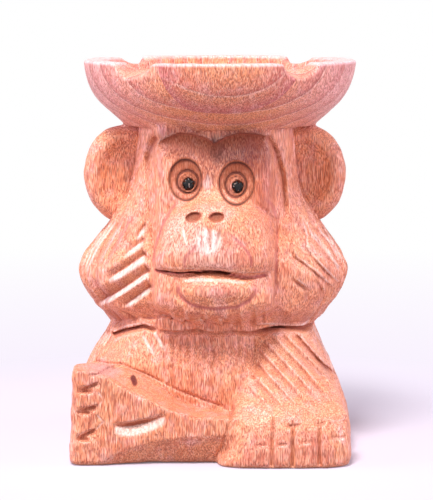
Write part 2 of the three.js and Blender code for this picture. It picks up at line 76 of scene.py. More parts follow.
# Photograph: 433 by 500 pixels, seen by a camera in front of the figure
IMAGE_WIDTH = 433
IMAGE_HEIGHT = 500
CAMERA_X = 0.47
CAMERA_Y = -650.0
CAMERA_Z = 141.6
CAMERA_PITCH = math.radians(7.12)
CAMERA_LENS = 150.5
SENSOR = 36.0
FOCAL_PIXELS = CAMERA_LENS / SENSOR * IMAGE_HEIGHT
FACE_DISTANCE = 622.0
PIXELS_PER_MM = FOCAL_PIXELS / FACE_DISTANCE
SIGHT_NEAR = 600.0
SIGHT_FAR = 660.0
SIGHT_STEP = 0.25
SIGHT_MISS_Y = -10.0


# Fields of distances: negative inside the wood, in millimetres
def smooth_min(a, b, blend):
    overlap = np.maximum(blend - np.abs(a - b), 0) / blend
    return np.minimum(a, b) - overlap * overlap * blend / 4


def smooth_max(a, b, blend):
    return -smooth_min(-a, -b, blend)


def smooth_step(low, high, value):
    t = np.clip((value - low) / (high - low), 0, 1)
    return t * t * (3 - 2 * t)


def ellipsoid(x, y, z, radii, centre):
    px, py, pz = (x - centre[0]) / radii[0], (y - centre[1]) / radii[1], (z - centre[2]) / radii[2]
    near = np.sqrt(px * px + py * py + pz * pz) + SMALL
    steep = np.sqrt((px / radii[0]) ** 2 + (py / radii[1]) ** 2 + (pz / radii[2]) ** 2) + SMALL
    return near * (near - 1) / steep


def spline_through(knots, share):
    """A Catmull-Rom curve through evenly spaced knots, at shares from 0 to 1."""
    knots = np.asarray(knots, float)
    last = len(knots) - 1
    place = np.asarray(share) * last
    i = np.minimum(np.floor(place).astype(int), last)
    t = place - i
    p0, p1 = knots[np.maximum(i - 1, 0)], knots[i]
    p2, p3 = knots[np.minimum(i + 1, last)], knots[np.minimum(i + 2, last)]
    v0, v1 = (p2 - p0) / 2, (p3 - p1) / 2
    return (2 * p1 - 2 * p2 + v0 + v1) * t**3 + (3 * p2 - 3 * p1 - 2 * v0 - v1) * t**2 + v0 * t + p1


class Loft:
    """Squared-off ellipses stacked on a smooth curve: rows of z, x, y, half width, front, back, square."""

    STEPS = 240

    def __init__(self, rows):
        share = np.linspace(0, 1, self.STEPS + 1)
        self.z, *self.rest = (spline_through(column, share) for column in zip(*rows))

    def at(self, z):
        return [np.interp(z, self.z, row).astype(np.float32) for row in self.rest]

    def sides(self, x, y, z):
        cx, cy, half, front, back, square = self.at(np.clip(z, self.z[0], self.z[-1]))
        depth = np.where(y < cy, front, back)
        ax = np.maximum(np.abs(x - cx) / half, SMALL)
        ay = np.maximum(np.abs(y - cy) / depth, SMALL)
        total = ax**square + ay**square
        reach = total ** (1 / square)
        slope = np.sqrt((ax ** (square - 1) / half) ** 2 + (ay ** (square - 1) / depth) ** 2) + SMALL
        return (reach - 1) * total / (reach * slope)

    def standing(self, x, y, z):
        """Closed at the top only; the floor closes it below."""
        return np.maximum(self.sides(x, y, z), z - self.z[-1])

    def field(self, x, y, z):
        return np.maximum(self.standing(x, y, z), self.z[0] - z)


HOOD = Loft([
    (NECK_Z, 0, 0, 31.5, 24, 29, 2.4),
    (FLARE_Z, -0.6, 0, 42.2, 29, 34, 2.3),
    (EAR_FOOT_Z, 0, 0, 33.4, 26, 31, 2.7),
    (TEMPLE_Z, 0, 0, 26.6, 24.5, 28, 3.2),
    (DISH_EDGE_Z, 0.5, 0, 23.8, 23.5, 25, 3.6),
])
FACE_SIDE = FACE_HALF_WIDTH - 0.15
FACE = Loft([
    (NECK_Z, 0, 0, FACE_SIDE, 27, 20, 4.5),
    (FLARE_Z, 0, 0, FACE_SIDE, 30.5, 20, 4.5),
    (DISH_EDGE_Z, 0, 0, FACE_SIDE, 28.5, 20, 4.5),
])
MUZZLE_LOW = MOUTH_Z - 0.3
MUZZLE_ROOT = -24.0
MUZZLE = Loft([
    (MUZZLE_LOW, 0, MUZZLE_ROOT, 18.4, 13.4, 6, 3.0),
    (MUZZLE_LOW + 5, 0, MUZZLE_ROOT, 18.4, 14.8, 6, 3.0),
    (MUZZLE_LOW + 15.5, 0, MUZZLE_ROOT, 15.6, 12.6, 6, 2.7),
    (MUZZLE_LOW + 20.5, 0, MUZZLE_ROOT, 10.5, 9, 6, 2.6),
    (MUZZLE_LOW + 24.5, 0, MUZZLE_ROOT, 5, 4.5, 6, 2.6),
])
JAW_HIGH = MOUTH_Z + 0.3
JAW = Loft([
    (JAW_HIGH - 17.9, 0, MUZZLE_ROOT, 10, 8, 6, 2.6),
    (JAW_HIGH - 11.9, 0, MUZZLE_ROOT, 18.4, 13.4, 6, 3.0),
    (JAW_HIGH, 0, MUZZLE_ROOT, 18.4, 12, 6, 3.0),
])
TORSO = Loft([
    (0, 0, 0, 33, 25, 38, 2.6),
    (14, 0, 0, 33, 28.5, 37.5, 2.5),
    (26, -1.5, 0, 30.5, 29.5, 34, 2.4),
    (NECK_Z, -3, 0, 28.3, 27, 28, 2.3),
])
HAUNCH_RIGHT = Loft([
    (0, 23.1, 0, 19.6, 36.5, 29, 2.6),
    (11, 22.8, 0, 19, 36, 28, 2.5),
    (22.5, 21.5, 0, 16.2, 32.5, 22, 2.4),
    (NECK_Z, 19, 0, 13.4, 26, 14, 2.2),
    (41, 18.6, 0, 12.4, 20, 12, 2.2),
])
HAUNCH_LEFT = Loft([
    (0, -22, 0, 21.2, 24, 29, 2.6),
    (11, -22, 0, 21, 25, 28, 2.5),
    (26, -20.5, 0, 19.6, 26, 22, 2.3),
    (NECK_Z, -18.5, 0, 16.3, 23.5, 18, 2.2),
    (40, -17.5, 0, 14.5, 20, 14, 2.2),
])
FOOT_RIGHT = Loft([
    (0, 20.3, -30, 20.9, 12.4, 6, 4),
    (3, 21.5, -30, 19.6, 12.4, 6, 4),
    (6.5, 22.3, -30, 18.7, 12.3, 6, 4),
    (12.5, 22.3, -30, 18.3, 10.8, 6, 3.8),
    (17, 22.3, -30, 17.2, 7.6, 6, 3.4),
    (21.5, 22.3, -30, 15, 4, 6, 3),
    (26, 22.3, -30, 12.5, 0.8, 6, 2.6),
])


CURVE_POINTS = 160


def bezier(p0, p1, p2):
    t = np.linspace(0, 1, CURVE_POINTS)[:, None]
    p0, p1, p2 = (np.asarray(p, float) for p in (p0, p1, p2))
    return (1 - t) ** 2 * p0 + 2 * t * (1 - t) * p1 + t * t * p2


# Dish: radii of its outside and inside by height; each notch has an azimuth in degrees from the front
# and two half widths, and its floor falls to the outside
DISH_FLOOR = 107.3
RIM_ROUND = 0.9
OUTSIDE_KNOTS = [
    (27.6, SEAT_Z), (30, 100.4), (33.4, 103.4), (37.4, 107.1), (40, 111), (41.5, 115.3), (42.3, RIM_Z),
]
OUTSIDE_SHARES = np.linspace(0, 1, CURVE_POINTS)
OUTSIDE = np.stack([spline_through(column, OUTSIDE_SHARES) for column in zip(*OUTSIDE_KNOTS)], 1)
INSIDE = bezier((20, DISH_FLOOR), (36.2, RIM_Z - 9), (36.2, RIM_Z))
NOTCHES = [(-41, 6.0, 10.0), (34.5, 6.6, 8.2), (138, 8, 8), (-133, 8, 8)]
NOTCH_DEPTH = 5.0
NOTCH_SLOPE = 0.5
NOTCH_INNER_RADIUS = 8.0
NOTCH_SIDE = 0.25
HOLLOW_ROUND = 1.5
# Share of a height above a sloping top that is distance from it
TOP_EASE = np.float32(0.85)


def notch_depths(x, y):
    """How far the notches lower the rim at a place of the plan."""
    lowered = np.float32(0)
    for azimuth, left, right in NOTCHES:
        turn = math.radians(azimuth)
        across = (x - DISH_X) * math.cos(turn) + y * math.sin(turn)
        out = (x - DISH_X) * math.sin(turn) - y * math.cos(turn)
        share = np.clip(1 - np.abs(across) / np.where(across < 0, left, right), 0, 1)
        deep = np.maximum(NOTCH_DEPTH - NOTCH_SLOPE * (OUTSIDE[-1, 0] - out), 0)
        scoop = deep * (1 - (1 - share) ** 2) * smooth_step(0, NOTCH_SIDE, share)
        lowered = np.maximum(lowered, np.where(out > NOTCH_INNER_RADIUS, scoop, 0))
    return lowered


def wall(curve, radius, z):
    """Distance from a turned wall, whose curve has rows of radius and height."""
    radii, heights = curve.T
    lean = np.interp(z, heights, np.gradient(radii, heights))
    square = (1 / np.sqrt(1 + lean**2)).astype(np.float32)
    return (radius - np.interp(z, heights, radii).astype(np.float32)) * square


def dish_field(x, y, z):
    radius = np.hypot(x - DISH_X, y)
    hollow = smooth_max(DISH_FLOOR - z, wall(INSIDE, radius, z), HOLLOW_ROUND)
    top = (z - (RIM_Z - notch_depths(x, y))) * TOP_EASE
    walls = np.maximum(wall(OUTSIDE, radius, z), -hollow)
    return np.maximum(smooth_max(walls, top, RIM_ROUND), DISH_EDGE_Z - z)


# Ears
EAR_X = 28.7
EAR_Y = -3.0
EAR_Z = EAR_FOOT_Z + 15.2
EAR_RADII = (12.0, 5.5, 15.2)
EAR_ROOT_RADIUS = 30.0
EAR_CUP_RADII = (9.6, 4.6, 12.4)
EAR_CUP_SHIFT = 1.6
EAR_EDGE = 1.6


def ear_field(side, x, y, z):
    across = np.where(side * x > EAR_X, np.float32(EAR_RADII[0]), np.float32(EAR_ROOT_RADIUS))
    disc = ellipsoid(x, y, z, (across, *EAR_RADII[1:]), (side * EAR_X, EAR_Y, EAR_Z))
    cup_centre = (side * (EAR_X - EAR_CUP_SHIFT), EAR_Y - EAR_RADII[1], EAR_Z)
    return smooth_max(disc, -ellipsoid(x, y, z, EAR_CUP_RADII, cup_centre), EAR_EDGE)


# Left foot, turned sideways with its sole to the front: heights of its ridge and calf by x
SOLE_FRONT = -38.4
SOLE_CALF = -27.0
SOLE_BACK = -14.0
SOLE_LEFT = -44.0
SOLE_LEAN = 0.05
SOLE_HEEL = 8.0
SOLE_RIDGE = [
    (-44, 28.4), (-42.6, 29.2), (-34.2, 28.3), (-26.8, 23.8), (-14.9, 17.7), (-6, 15.3), (3.2, 15),
]
SOLE_TOP = [
    (-44, 28.4), (-43.2, 29.0), (-34.8, 29.6), (-25.7, 27.8), (-16.7, 22.6), (-7.6, 17.3), (3.2, 15),
]
SOLE_POINTS = 200
SOLE_FALL = 0.6
SOLE_EDGE = 0.9
SOLE_CORNER = 3.2
SOLE_HEEL_ROUND = 1.5
UNDERCUT = bezier((-36, 0), (-24, 9.6), (3.5, 9.6))
UNDERCUT_DEPTH = 4.2
UNDERCUT_RUN = 16.0


def smooth_line(knots, x):
    """Height at x of a smooth line through knots of x and height."""
    share = np.linspace(0, 1, SOLE_POINTS)
    places, heights = (spline_through(column, share) for column in zip(*knots))
    return np.interp(x, places, heights).astype(np.float32)


def foot_left_field(x, y, z):
    back = np.clip((y - SOLE_FRONT) / (SOLE_CALF - SOLE_FRONT), 0, 1)
    ridge, top = smooth_line(SOLE_RIDGE, x), smooth_line(SOLE_TOP, x)
    crest = ridge + (top - ridge) * back - SOLE_FALL * np.maximum(y - SOLE_CALF, 0)
    arch = np.interp(x, UNDERCUT[:, 0], UNDERCUT[:, 1], left=0).astype(np.float32)
    deep = np.clip((x - UNDERCUT[0, 0]) / UNDERCUT_RUN, 0, 1) * UNDERCUT_DEPTH
    cove = deep * np.clip(1 - z / np.maximum(arch, SMALL), 0, 1) * (arch > 0)
    front = SOLE_FRONT + cove - y
    left = SOLE_LEFT + SOLE_LEAN * z - x
    body = smooth_max(front, left, SOLE_CORNER)
    body = smooth_max(body, (z - crest) * TOP_EASE, SOLE_EDGE)
    body = smooth_max(body, x - SOLE_HEEL, SOLE_HEEL_ROUND)
    return np.maximum(body, y - SOLE_BACK)


LOWER_LIP_RADII = (11.8, 4.4, 4.3)
LOWER_LIP_CENTRE = (0.2, -34.9, MOUTH_Z - 5.3)
LIP_BLEND = 1.6


def jaw_field(x, y, z):
    chin = JAW.field(x, y, z)
    lip = ellipsoid(x, y, z, LOWER_LIP_RADII, LOWER_LIP_CENTRE)
    return np.maximum(smooth_min(chin, lip, LIP_BLEND), z - JAW_HIGH)


SOLIDS = {
    "hood": HOOD.sides,
    "face": FACE.sides,
    "muzzle": MUZZLE.field,
    "jaw": jaw_field,
    "ear_left": lambda x, y, z: ear_field(-1, x, y, z),
    "ear_right": lambda x, y, z: ear_field(1, x, y, z),
    "dish": dish_field,
    "torso": TORSO.sides,
    "haunch_left": HAUNCH_LEFT.standing,
    "haunch_right": HAUNCH_RIGHT.standing,
    "foot_left": foot_left_field,
    "foot_right": FOOT_RIGHT.standing,
}


def solid_fields(x, y, z):
    found = {name: np.asarray(field(x, y, z), np.float32) for name, field in SOLIDS.items()}
    found["x"] = x
    found["z"] = z
    return found


HEAD_TOP = DISH_EDGE_Z + 4
BODY_REACH = 2.0
# Roundings where two forms run into each other
FACE_BLEND = 1.0
MUZZLE_BLEND = 2.0
EAR_BLEND = 1.0
ANKLE_BLEND = 4.0
HIP_BLEND = 2.0
KNEE_BLEND = 1.5
SOLE_BLEND = 0.8
HEM_BLEND = 0.4
DISH_BLEND = 1.2
# Edge of the hair over the body: x, and the rise above the neck
HEM = [
    (-34, -1.0), (-32, -0.3), (-27.5, 3.3), (-23, 5.0), (-18, 5.6), (-14.2, 6.4), (-13.8, 5.6), (-10.1, 6.2),
    (-9.7, 5.3), (-4.4, 6.0), (-4.0, 4.9), (1.4, 5.6), (1.8, 4.2), (6.3, 4.9), (6.7, 3.6), (10.8, 4.6),
    (11.2, 4.9), (12.5, 5.6), (17.5, 5.2), (25, 3.0), (28, 3.0), (30.5, 3.8), (33, 4.5),
]


def hem(x):
    """Height of the edge of the hair over the body."""
    places, rises = zip(*HEM)
    return (NECK_Z + np.interp(x, places, rises)).astype(np.float32)


def head_sides(f):
    head = smooth_min(f["hood"], f["face"], FACE_BLEND)
    head = smooth_min(head, np.minimum(f["muzzle"], f["jaw"]), MUZZLE_BLEND)
    return smooth_min(head, np.minimum(f["ear_left"], f["ear_right"]), EAR_BLEND)


def body_sides(f):
    right_leg = smooth_min(f["haunch_right"], f["foot_right"], ANKLE_BLEND)
    torso = np.maximum(f["torso"], f["z"] - hem(f["x"]) - BODY_REACH)
    body = smooth_min(torso, f["haunch_left"], HIP_BLEND)
    body = smooth_min(body, right_leg, KNEE_BLEND)
    return smooth_min(body, f["foot_left"], SOLE_BLEND)


def head_ends(f, top):
    return np.maximum(hem(f["x"]) - f["z"], f["z"] - top)


def head_form(f):
    return np.maximum(head_sides(f), head_ends(f, HEAD_TOP))


def body_form(f):
    return np.maximum(body_sides(f), -f["z"])


def without(field, *others):
    return np.maximum.reduce([field, *(-other for other in others)])


def owners(f):
    """Each node's own share of the carving, as a field."""
    between = head_ends(f, DISH_EDGE_Z)
    hood, face = np.maximum(f["hood"], between), np.maximum(f["face"], between)
    torso = np.maximum(f["torso"], f["z"] - hem(f["x"]))
    return {
        "dish": f["dish"],
        "head": np.minimum(np.maximum(hood, np.abs(f["x"]) - FACE_HALF_WIDTH), face),
        "mane_left": np.maximum(hood, f["x"] + FACE_HALF_WIDTH),
        "mane_right": np.maximum(hood, FACE_HALF_WIDTH - f["x"]),
        "muzzle": without(f["muzzle"], face),
        "jaw": without(f["jaw"], face),
        "ear_left": without(f["ear_left"], hood, f["dish"]),
        "ear_right": without(f["ear_right"], hood, f["dish"]),
        "torso": torso,
        "haunch_left": without(f["haunch_left"], torso),
        "haunch_right": without(f["haunch_right"], torso),
        "foot_left": without(f["foot_left"], f["haunch_left"], f["haunch_right"], torso),
        "foot_right": without(f["foot_right"], f["haunch_right"], torso),
    }


# Surface of a field on a grid, one vertex to a crossed cell
CORNERS = np.array([(i, j, k) for i in (0, 1) for j in (0, 1) for k in (0, 1)])
CELL_EDGES = [
    (a, b) for a in range(8) for b in range(a + 1, 8) if np.abs(CORNERS[a] - CORNERS[b]).sum() == 1
]
RING_STEPS = ((-1, -1), (0, -1), (0, 0), (-1, 0))


def surface_net(values):
    """Vertices in grid steps, and quads, of the zero surface of values."""
    inside = values < 0
    shape = np.array(values.shape) - 1
    count = np.zeros(shape, np.int8)
    for i, j, k in CORNERS:
        count += inside[i : shape[0] + i, j : shape[1] + j, k : shape[2] + k]
    crossed = (count > 0) & (count < 8)
    cells = np.argwhere(crossed)
    number = np.full(crossed.shape, -1, np.int32)
    number[crossed] = np.arange(len(cells))
    corner_values = np.stack([values[tuple((cells + c).T)] for c in CORNERS], 1)
    total = np.zeros((len(cells), 3))
    hits = np.zeros(len(cells))
    for a, b in CELL_EDGES:
        va, vb = corner_values[:, a], corner_values[:, b]
        cut = (va < 0) != (vb < 0)
        t = va[cut] / (va[cut] - vb[cut])
        total[cut] += CORNERS[a] + t[:, None] * (CORNERS[b] - CORNERS[a])
        hits += cut
    vertices = cells + total / hits[:, None]
    quads = []
    for axis in range(3):
        one, two = (axis + 1) % 3, (axis + 2) % 3
        low = [slice(None)] * 3
        high = [slice(None)] * 3
        low[axis], high[axis] = slice(None, -1), slice(1, None)
        first, second = inside[tuple(low)], inside[tuple(high)]
        for start, flip in ((first & ~second, False), (second & ~first, True)):
            at = np.argwhere(start)
            across = at[:, [one, two]]
            at = at[((across > 0) & (across < shape[[one, two]])).all(1)]
            ring = []
            for step_one, step_two in RING_STEPS:
                cell = at.copy()
                cell[:, one] += step_one
                cell[:, two] += step_two
                ring.append(number[tuple(cell.T)])
            quads.append(np.stack(ring[::-1] if flip else ring, 1))
    return vertices, np.concatenate(quads)


def sample(values, points):
    limit = np.array(values.shape) - 2
    base = np.clip(np.floor(points).astype(int), 0, limit)
    share = points - base
    found = 0
    for c in CORNERS:
        weight = np.prod(np.where(c, share, 1 - share), 1)
        found = found + weight * values[tuple((base + c).T)]
    return found


def neighbour_means(points, quads):
    ends = np.concatenate([quads, np.roll(quads, -1, 1)], 1)
    a = np.concatenate([ends[:, :4].ravel(), ends[:, 4:].ravel()])
    b = np.concatenate([ends[:, 4:].ravel(), ends[:, :4].ravel()])
    degree = np.bincount(a, minlength=len(points))
    sums = np.stack([np.bincount(a, points[b, i], len(points)) for i in range(points.shape[1])], 1)
    return sums / np.maximum(degree, 1)[:, None]


SETTLE_ROUNDS = 2
SETTLE_SHARE = 0.5
RETURN_ROUNDS = 2
RETURN_STEP = 0.4
LEAST_SLOPE = 1e-4


def slopes_at(values, points):
    half_steps = np.eye(3) / 2
    return np.stack([sample(values, points + e) - sample(values, points - e) for e in half_steps], 1)


def settle(values, points, quads):
    """Spreads the vertices evenly and sets them back on the surface."""
    for _ in range(SETTLE_ROUNDS):
        points = points + SETTLE_SHARE * (neighbour_means(points, quads) - points)
        for _ in range(RETURN_ROUNDS):
            slope = slopes_at(values, points)
            step = sample(values, points) / np.maximum((slope**2).sum(1), LEAST_SLOPE)
            points = points - np.clip(step[:, None] * slope, -RETURN_STEP, RETURN_STEP)
    return points


# Knife work: strokes drawn in pixels of the photograph and set on the forms where they are seen
SHORTEST_RUN = 0.05
RUN_BEND = 0.6


def on_surface(form, pixels):
    """Where the view through pixels of the photograph first meets a form, as rows of x, y and height."""
    pixels = np.asarray(pixels, float)
    right = (pixels[:, 0] - IMAGE_WIDTH / 2) / FOCAL_PIXELS
    up = (IMAGE_HEIGHT / 2 - pixels[:, 1]) / FOCAL_PIXELS
    ray = np.stack([
        right,
        math.cos(CAMERA_PITCH) + up * math.sin(CAMERA_PITCH),
        up * math.cos(CAMERA_PITCH) - math.sin(CAMERA_PITCH),
    ], 1)
    reach = np.arange(SIGHT_NEAR, SIGHT_FAR, SIGHT_STEP)
    places = np.array([CAMERA_X, CAMERA_Y, CAMERA_Z]) + reach[None, :, None] * ray[:, None, :]
    x, y, z = (places[..., i].ravel().astype(np.float32) for i in range(3))
    inside = form(solid_fields(x, y, z)).reshape(len(pixels), -1) < 0
    missed = np.argmin(np.abs(places[..., 1] - SIGHT_MISS_Y), 1)
    first = np.where(inside.any(1), inside.argmax(1), missed)
    return places[np.arange(len(pixels)), first]


class Stroke:
    """A cut along a line of the front view. Its two flanks lie above and below it, or right and left of
    an upright line, and its ends run out over given lengths. A ramp deepens away below its line. The
    depth is one number, or one for each point of the line."""

    def __init__(self, line, depth, above, below, run_in, run_out, ramp=False):
        self.line = np.asarray(line, float)
        lengths = np.hypot(*np.diff(self.line, axis=0).T)
        self.stations = np.concatenate([[0], np.cumsum(lengths)])
        self.depths = np.broadcast_to(depth, self.stations.shape)
        self.above = above
        self.below = below
        self.run_in = max(run_in, SHORTEST_RUN)
        self.run_out = max(run_out, SHORTEST_RUN)
        self.ramp = ramp

    def add_to(self, depths, x, z):
        reach = max(self.above, self.below)
        low, high = self.line.min(0) - reach, self.line.max(0) + reach
        columns = np.nonzero((x >= low[0]) & (x <= high[0]))[0]
        rows = np.nonzero((z >= low[1]) & (z <= high[1]))[0]
        if not len(columns) or not len(rows):
            return
        window = np.ix_(columns, rows)
        px, pz = x[columns][:, None], z[rows][None, :]
        nearest = np.full(np.broadcast_shapes(px.shape, pz.shape), np.inf)
        offset = np.zeros_like(nearest)
        travel = np.zeros_like(nearest)
        for k, ((x1, z1), (x2, z2)) in enumerate(zip(self.line[:-1], self.line[1:])):
            length = self.stations[k + 1] - self.stations[k]
            ux, uz = (x2 - x1) / length, (z2 - z1) / length
            t = (px - x1) * ux + (pz - z1) * uz
            held = np.clip(t, 0, length)
            away = np.hypot(px - x1 - held * ux, pz - z1 - held * uz)
            up = -1 if ux < 0 or (ux == 0 and uz > 0) else 1
            side = np.sign((pz - z1) * ux - (px - x1) * uz) * up
            closer = away < nearest
            nearest = np.where(closer, away, nearest)
            offset = np.where(closer, away * side, offset)
            travel = np.where(closer, self.stations[k] + t, travel)
        flank = np.where(offset > 0, self.above, self.below)
        share = np.clip(nearest / flank, 0, 1)
        if self.ramp:
            profile = np.where((offset < 0) & (nearest < flank), share, 0)
        else:
            profile = 1 - share
        left = self.stations[-1] - travel
        ends = np.clip(travel / self.run_in, 0, 1) * np.clip(left / self.run_out, 0, 1)
        depth = np.interp(travel, self.stations, self.depths)
        depths[window] = np.maximum(depths[window], depth * profile * ends**RUN_BEND)


def strokes(form, rows):
    """Strokes from rows of a line in pixels followed by the stroke's other values."""
    return [Stroke(on_surface(form, line)[:, ::2], *rest) for line, *rest in rows]


FRINGE = [
    (157, 145), (165, 139.5), (178, 134), (192, 134.5), (205, 138.5), (211, 142), (214.5, 145), (218, 142),
    (226, 137.5), (240, 134), (255, 134.5), (271, 138.5),
]
MOUTH = [
    (153.5, 270), (166, 272), (180, 273.5), (190, 272.5), (205, 271), (221, 271.5), (231, 274.5), (243, 277),
    (256, 276.5), (267.5, 274.5),
]
MOUTH_DROP = 2.4
MOUTH_FLOOR = [(column, row + MOUTH_DROP) for column, row in MOUTH[1:-1]]
HAIR_UNDERSIDE = [
    (94, 305), (121, 307.5), (140, 305), (153, 303), (166, 299), (178, 302), (190, 307), (204, 310), (220, 311),
    (237, 309), (251, 303), (262, 301), (275, 306), (292, 313), (312, 310), (336, 297),
]
UNDERSIDE_DEPTHS = [6.3, 6.3, 6.0, 4.8, 4.4] + [4.0] * 7 + [4.2, 5.2, 5.2, 5.2]
HAIR_HEM = [
    (158, 330), (176, 333), (197, 330), (214, 334), (232, 331), (250, 333), (268, 329), (280, 327), (292, 328),
    (304, 327.5), (314, 321),
]
HAIR_HEM_DEPTHS = [1.3] * 5 + [1.6, 2.4] + [2.6] * 4
# Each row has a line in pixels, then the depth of the cut, the widths of its flanks above and below and
# the lengths of its two ends, in millimetres
HEAD_STROKES = [
    # Stop cuts beside the face
    ([(157, 137), (151, 148), (147.5, 160), (147, 178)], 1.5, 1.6, 1.4, 0.5, 6),
    ([(147, 170), (148, 200), (151.5, 225), (153, 250), (152.5, 266), (152, 285), (152, 304)],
     0.6, 0.9, 0.9, 2, 3),
    ([(267, 136), (276, 152), (282.5, 175), (285, 200), (285.5, 220)], 1.5, 1.3, 1.9, 0.5, 5),
    ([(276, 217), (278, 240), (277, 262), (275.5, 285), (274, 308)], 0.8, 0.8, 0.9, 2, 2),
    # Edge of the muzzle on the cheeks
    ([(177, 200), (167, 214), (160, 232), (155.5, 252)], 0.45, 0.7, 1.0, 3, 2),
    ([(255, 204), (267, 212), (274, 221), (277, 236)], 0.4, 0.7, 1.0, 3, 4),
    # Fringe over the forehead and its parting
    (FRINGE, 1.7, 0.4, 9.0, 3, 3),
    ([(215.5, 142), (216, 150), (216, 158)], 0.9, 1.1, 1.1, 0.5, 4),
    # Upper lip below the nose
    ([(209.5, 226), (210, 240), (211, 251)], 0.9, 0.7, 0.7, 2, 2),
    ([(221, 229), (218.5, 243), (216, 255)], 0.8, 0.7, 0.7, 2, 2),
    ([(203, 224), (203.5, 247)], 0.3, 0.8, 0.8, 3, 3),
    ([(183, 226), (186.5, 243)], 0.3, 0.6, 0.6, 2, 2),
    # Mouth
    (MOUTH, 0.6, 1.3, 0.6, 1.2, 1.2),
    (MOUTH, 1.0, 0.45, 0.6, 1.0, 1.0),
    (MOUTH_FLOOR, 1.1, 0.5, 0.4, 1.0, 1.0),
    # Under the lower lip
    ([(177, 286), (181, 296), (190, 304), (205, 308), (220, 309), (238, 307), (250, 299), (255, 288)],
     0.6, 0.5, 2.4, 4, 4),
    # Locks of the left side of the hair
    ([(146, 223), (141, 231), (134, 241)], 1.0, 0.9, 1.4, 1, 3),
    ([(145, 239), (136, 246), (121, 257)], 1.3, 1.8, 1.2, 0.5, 4),
    ([(146, 253.5), (138, 259), (124, 268.5), (105, 280)], 1.8, 2.2, 2.2, 0.5, 6),
    ([(150, 270), (141, 277), (122, 289.5), (96, 304)], 2.0, 4.2, 1.2, 0.5, 5),
    ([(152, 286), (147, 290), (137, 297.5), (122, 307)], 1.7, 3.2, 1.0, 0.5, 4),
    ([(120, 311), (129, 315), (138, 322)], 0.9, 0.5, 0.7, 1, 2),
    ([(136, 214), (126, 238), (112, 262)], 0.6, 1.1, 0.8, 3, 6),
    ([(128, 219), (116, 243), (101, 268)], 0.7, 1.2, 0.8, 3, 6),
    ([(120, 220), (104, 244), (91, 274)], 0.7, 1.0, 0.7, 2, 6),
    ([(114.5, 221), (94, 249), (83, 275)], 0.6, 0.7, 0.5, 2, 5),
    ([(110.5, 222), (89, 254), (81.5, 274)], 0.6, 0.6, 0.5, 2, 5),
    ([(107, 222), (85.5, 256), (80.2, 272)], 0.5, 0.5, 0.4, 2, 5),
    # Locks of the right side of the hair
    ([(299, 212), (300.5, 221), (306, 235), (306, 246), (312, 257), (320, 266), (339, 285)],
     0.8, 0.4, 1.6, 3, 6),
    ([(303, 216), (309.5, 235), (317.5, 245), (332.5, 262.5), (342.5, 272)], 0.7, 0.4, 1.2, 3, 5),
    ([(310, 231), (327, 253.5), (341, 276)], 0.7, 0.4, 1.1, 3, 5),
    ([(314.5, 226.5), (327, 242), (340.5, 264), (343.5, 274)], 0.7, 0.4, 1.0, 3, 4),
    ([(321.5, 226), (332.5, 246), (344.5, 268)], 0.55, 0.7, 1.0, 3, 4),
    ([(325.5, 227), (338, 244.5), (347, 262.5)], 0.6, 0.4, 0.6, 2, 4),
    ([(288, 245), (295, 258), (304, 264), (316.5, 274), (334, 290)], 0.8, 0.4, 2.0, 5, 8),
    ([(306, 257), (309.5, 263), (313.5, 267)], 0.8, 0.4, 0.8, 1, 2),
    ([(315, 279), (321, 287), (323.5, 297)], 0.8, 0.5, 1.4, 2, 3),
    ([(292, 279), (300, 285), (309, 291)], 0.9, 0.5, 1.6, 2, 3),
    ([(306, 292), (307.5, 298), (305, 303)], 0.35, 0.5, 0.8, 1, 2),
    # Undersides of the hair and of the chin
    (HAIR_UNDERSIDE, UNDERSIDE_DEPTHS, 0.1, 15.0, 1, 1, True),
]
# Upright facets of the chin, each deepest at its right edge
CHIN_COLUMNS = [157, 169.5, 183, 202.5, 222, 238.5, 253.5, 263]
CHIN_LINE = [(0, 306), (1.5, 320), (1, 338)]
CHIN_WIDTH_SHARE = 0.9


def varied(least, spread):
    return least + spread * random.random()


def chin_facet(left, right):
    line = [(right + shift, row) for shift, row in CHIN_LINE]
    return line, varied(0.8, 0.5), 0.3, CHIN_WIDTH_SHARE * (right - left) / PIXELS_PER_MM, 5, 0.2


CHIN_STROKES = [chin_facet(left, right) for left, right in zip(CHIN_COLUMNS[:-1], CHIN_COLUMNS[1:])]
HAUNCH_LINES = [
    [(292, 330), (343, 386)], [(281, 332), (341, 398)], [(270, 334), (335, 406)], [(262, 340), (326, 409)],
    [(257, 349), (314, 412)], [(254, 361), (301, 413)], [(252, 375), (287, 414)], [(250, 389), (272, 414)],
]
BODY_STROKES = [(line, varied(0.8, 0.4), 0.6, 2.4, 2, 9) for line in HAUNCH_LINES]
BODY_STROKES += [
    # Combed lines of the haunches
    ([(313, 323.5), (329, 353.5), (342.5, 386)], 0.5, 0.5, 0.5, 2, 4),
    ([(316, 322.5), (332, 352.5), (345.5, 386)], 0.5, 0.5, 0.5, 2, 4),
    ([(106, 331), (96, 346)], 0.6, 0.4, 0.5, 1, 1),
    ([(108.5, 332), (98, 347)], 0.6, 0.4, 0.5, 1, 1),
    ([(111, 333), (101, 347.5)], 0.6, 0.4, 0.5, 1, 1),
    ([(113, 335), (104, 348)], 0.6, 0.4, 0.6, 1, 1),
]
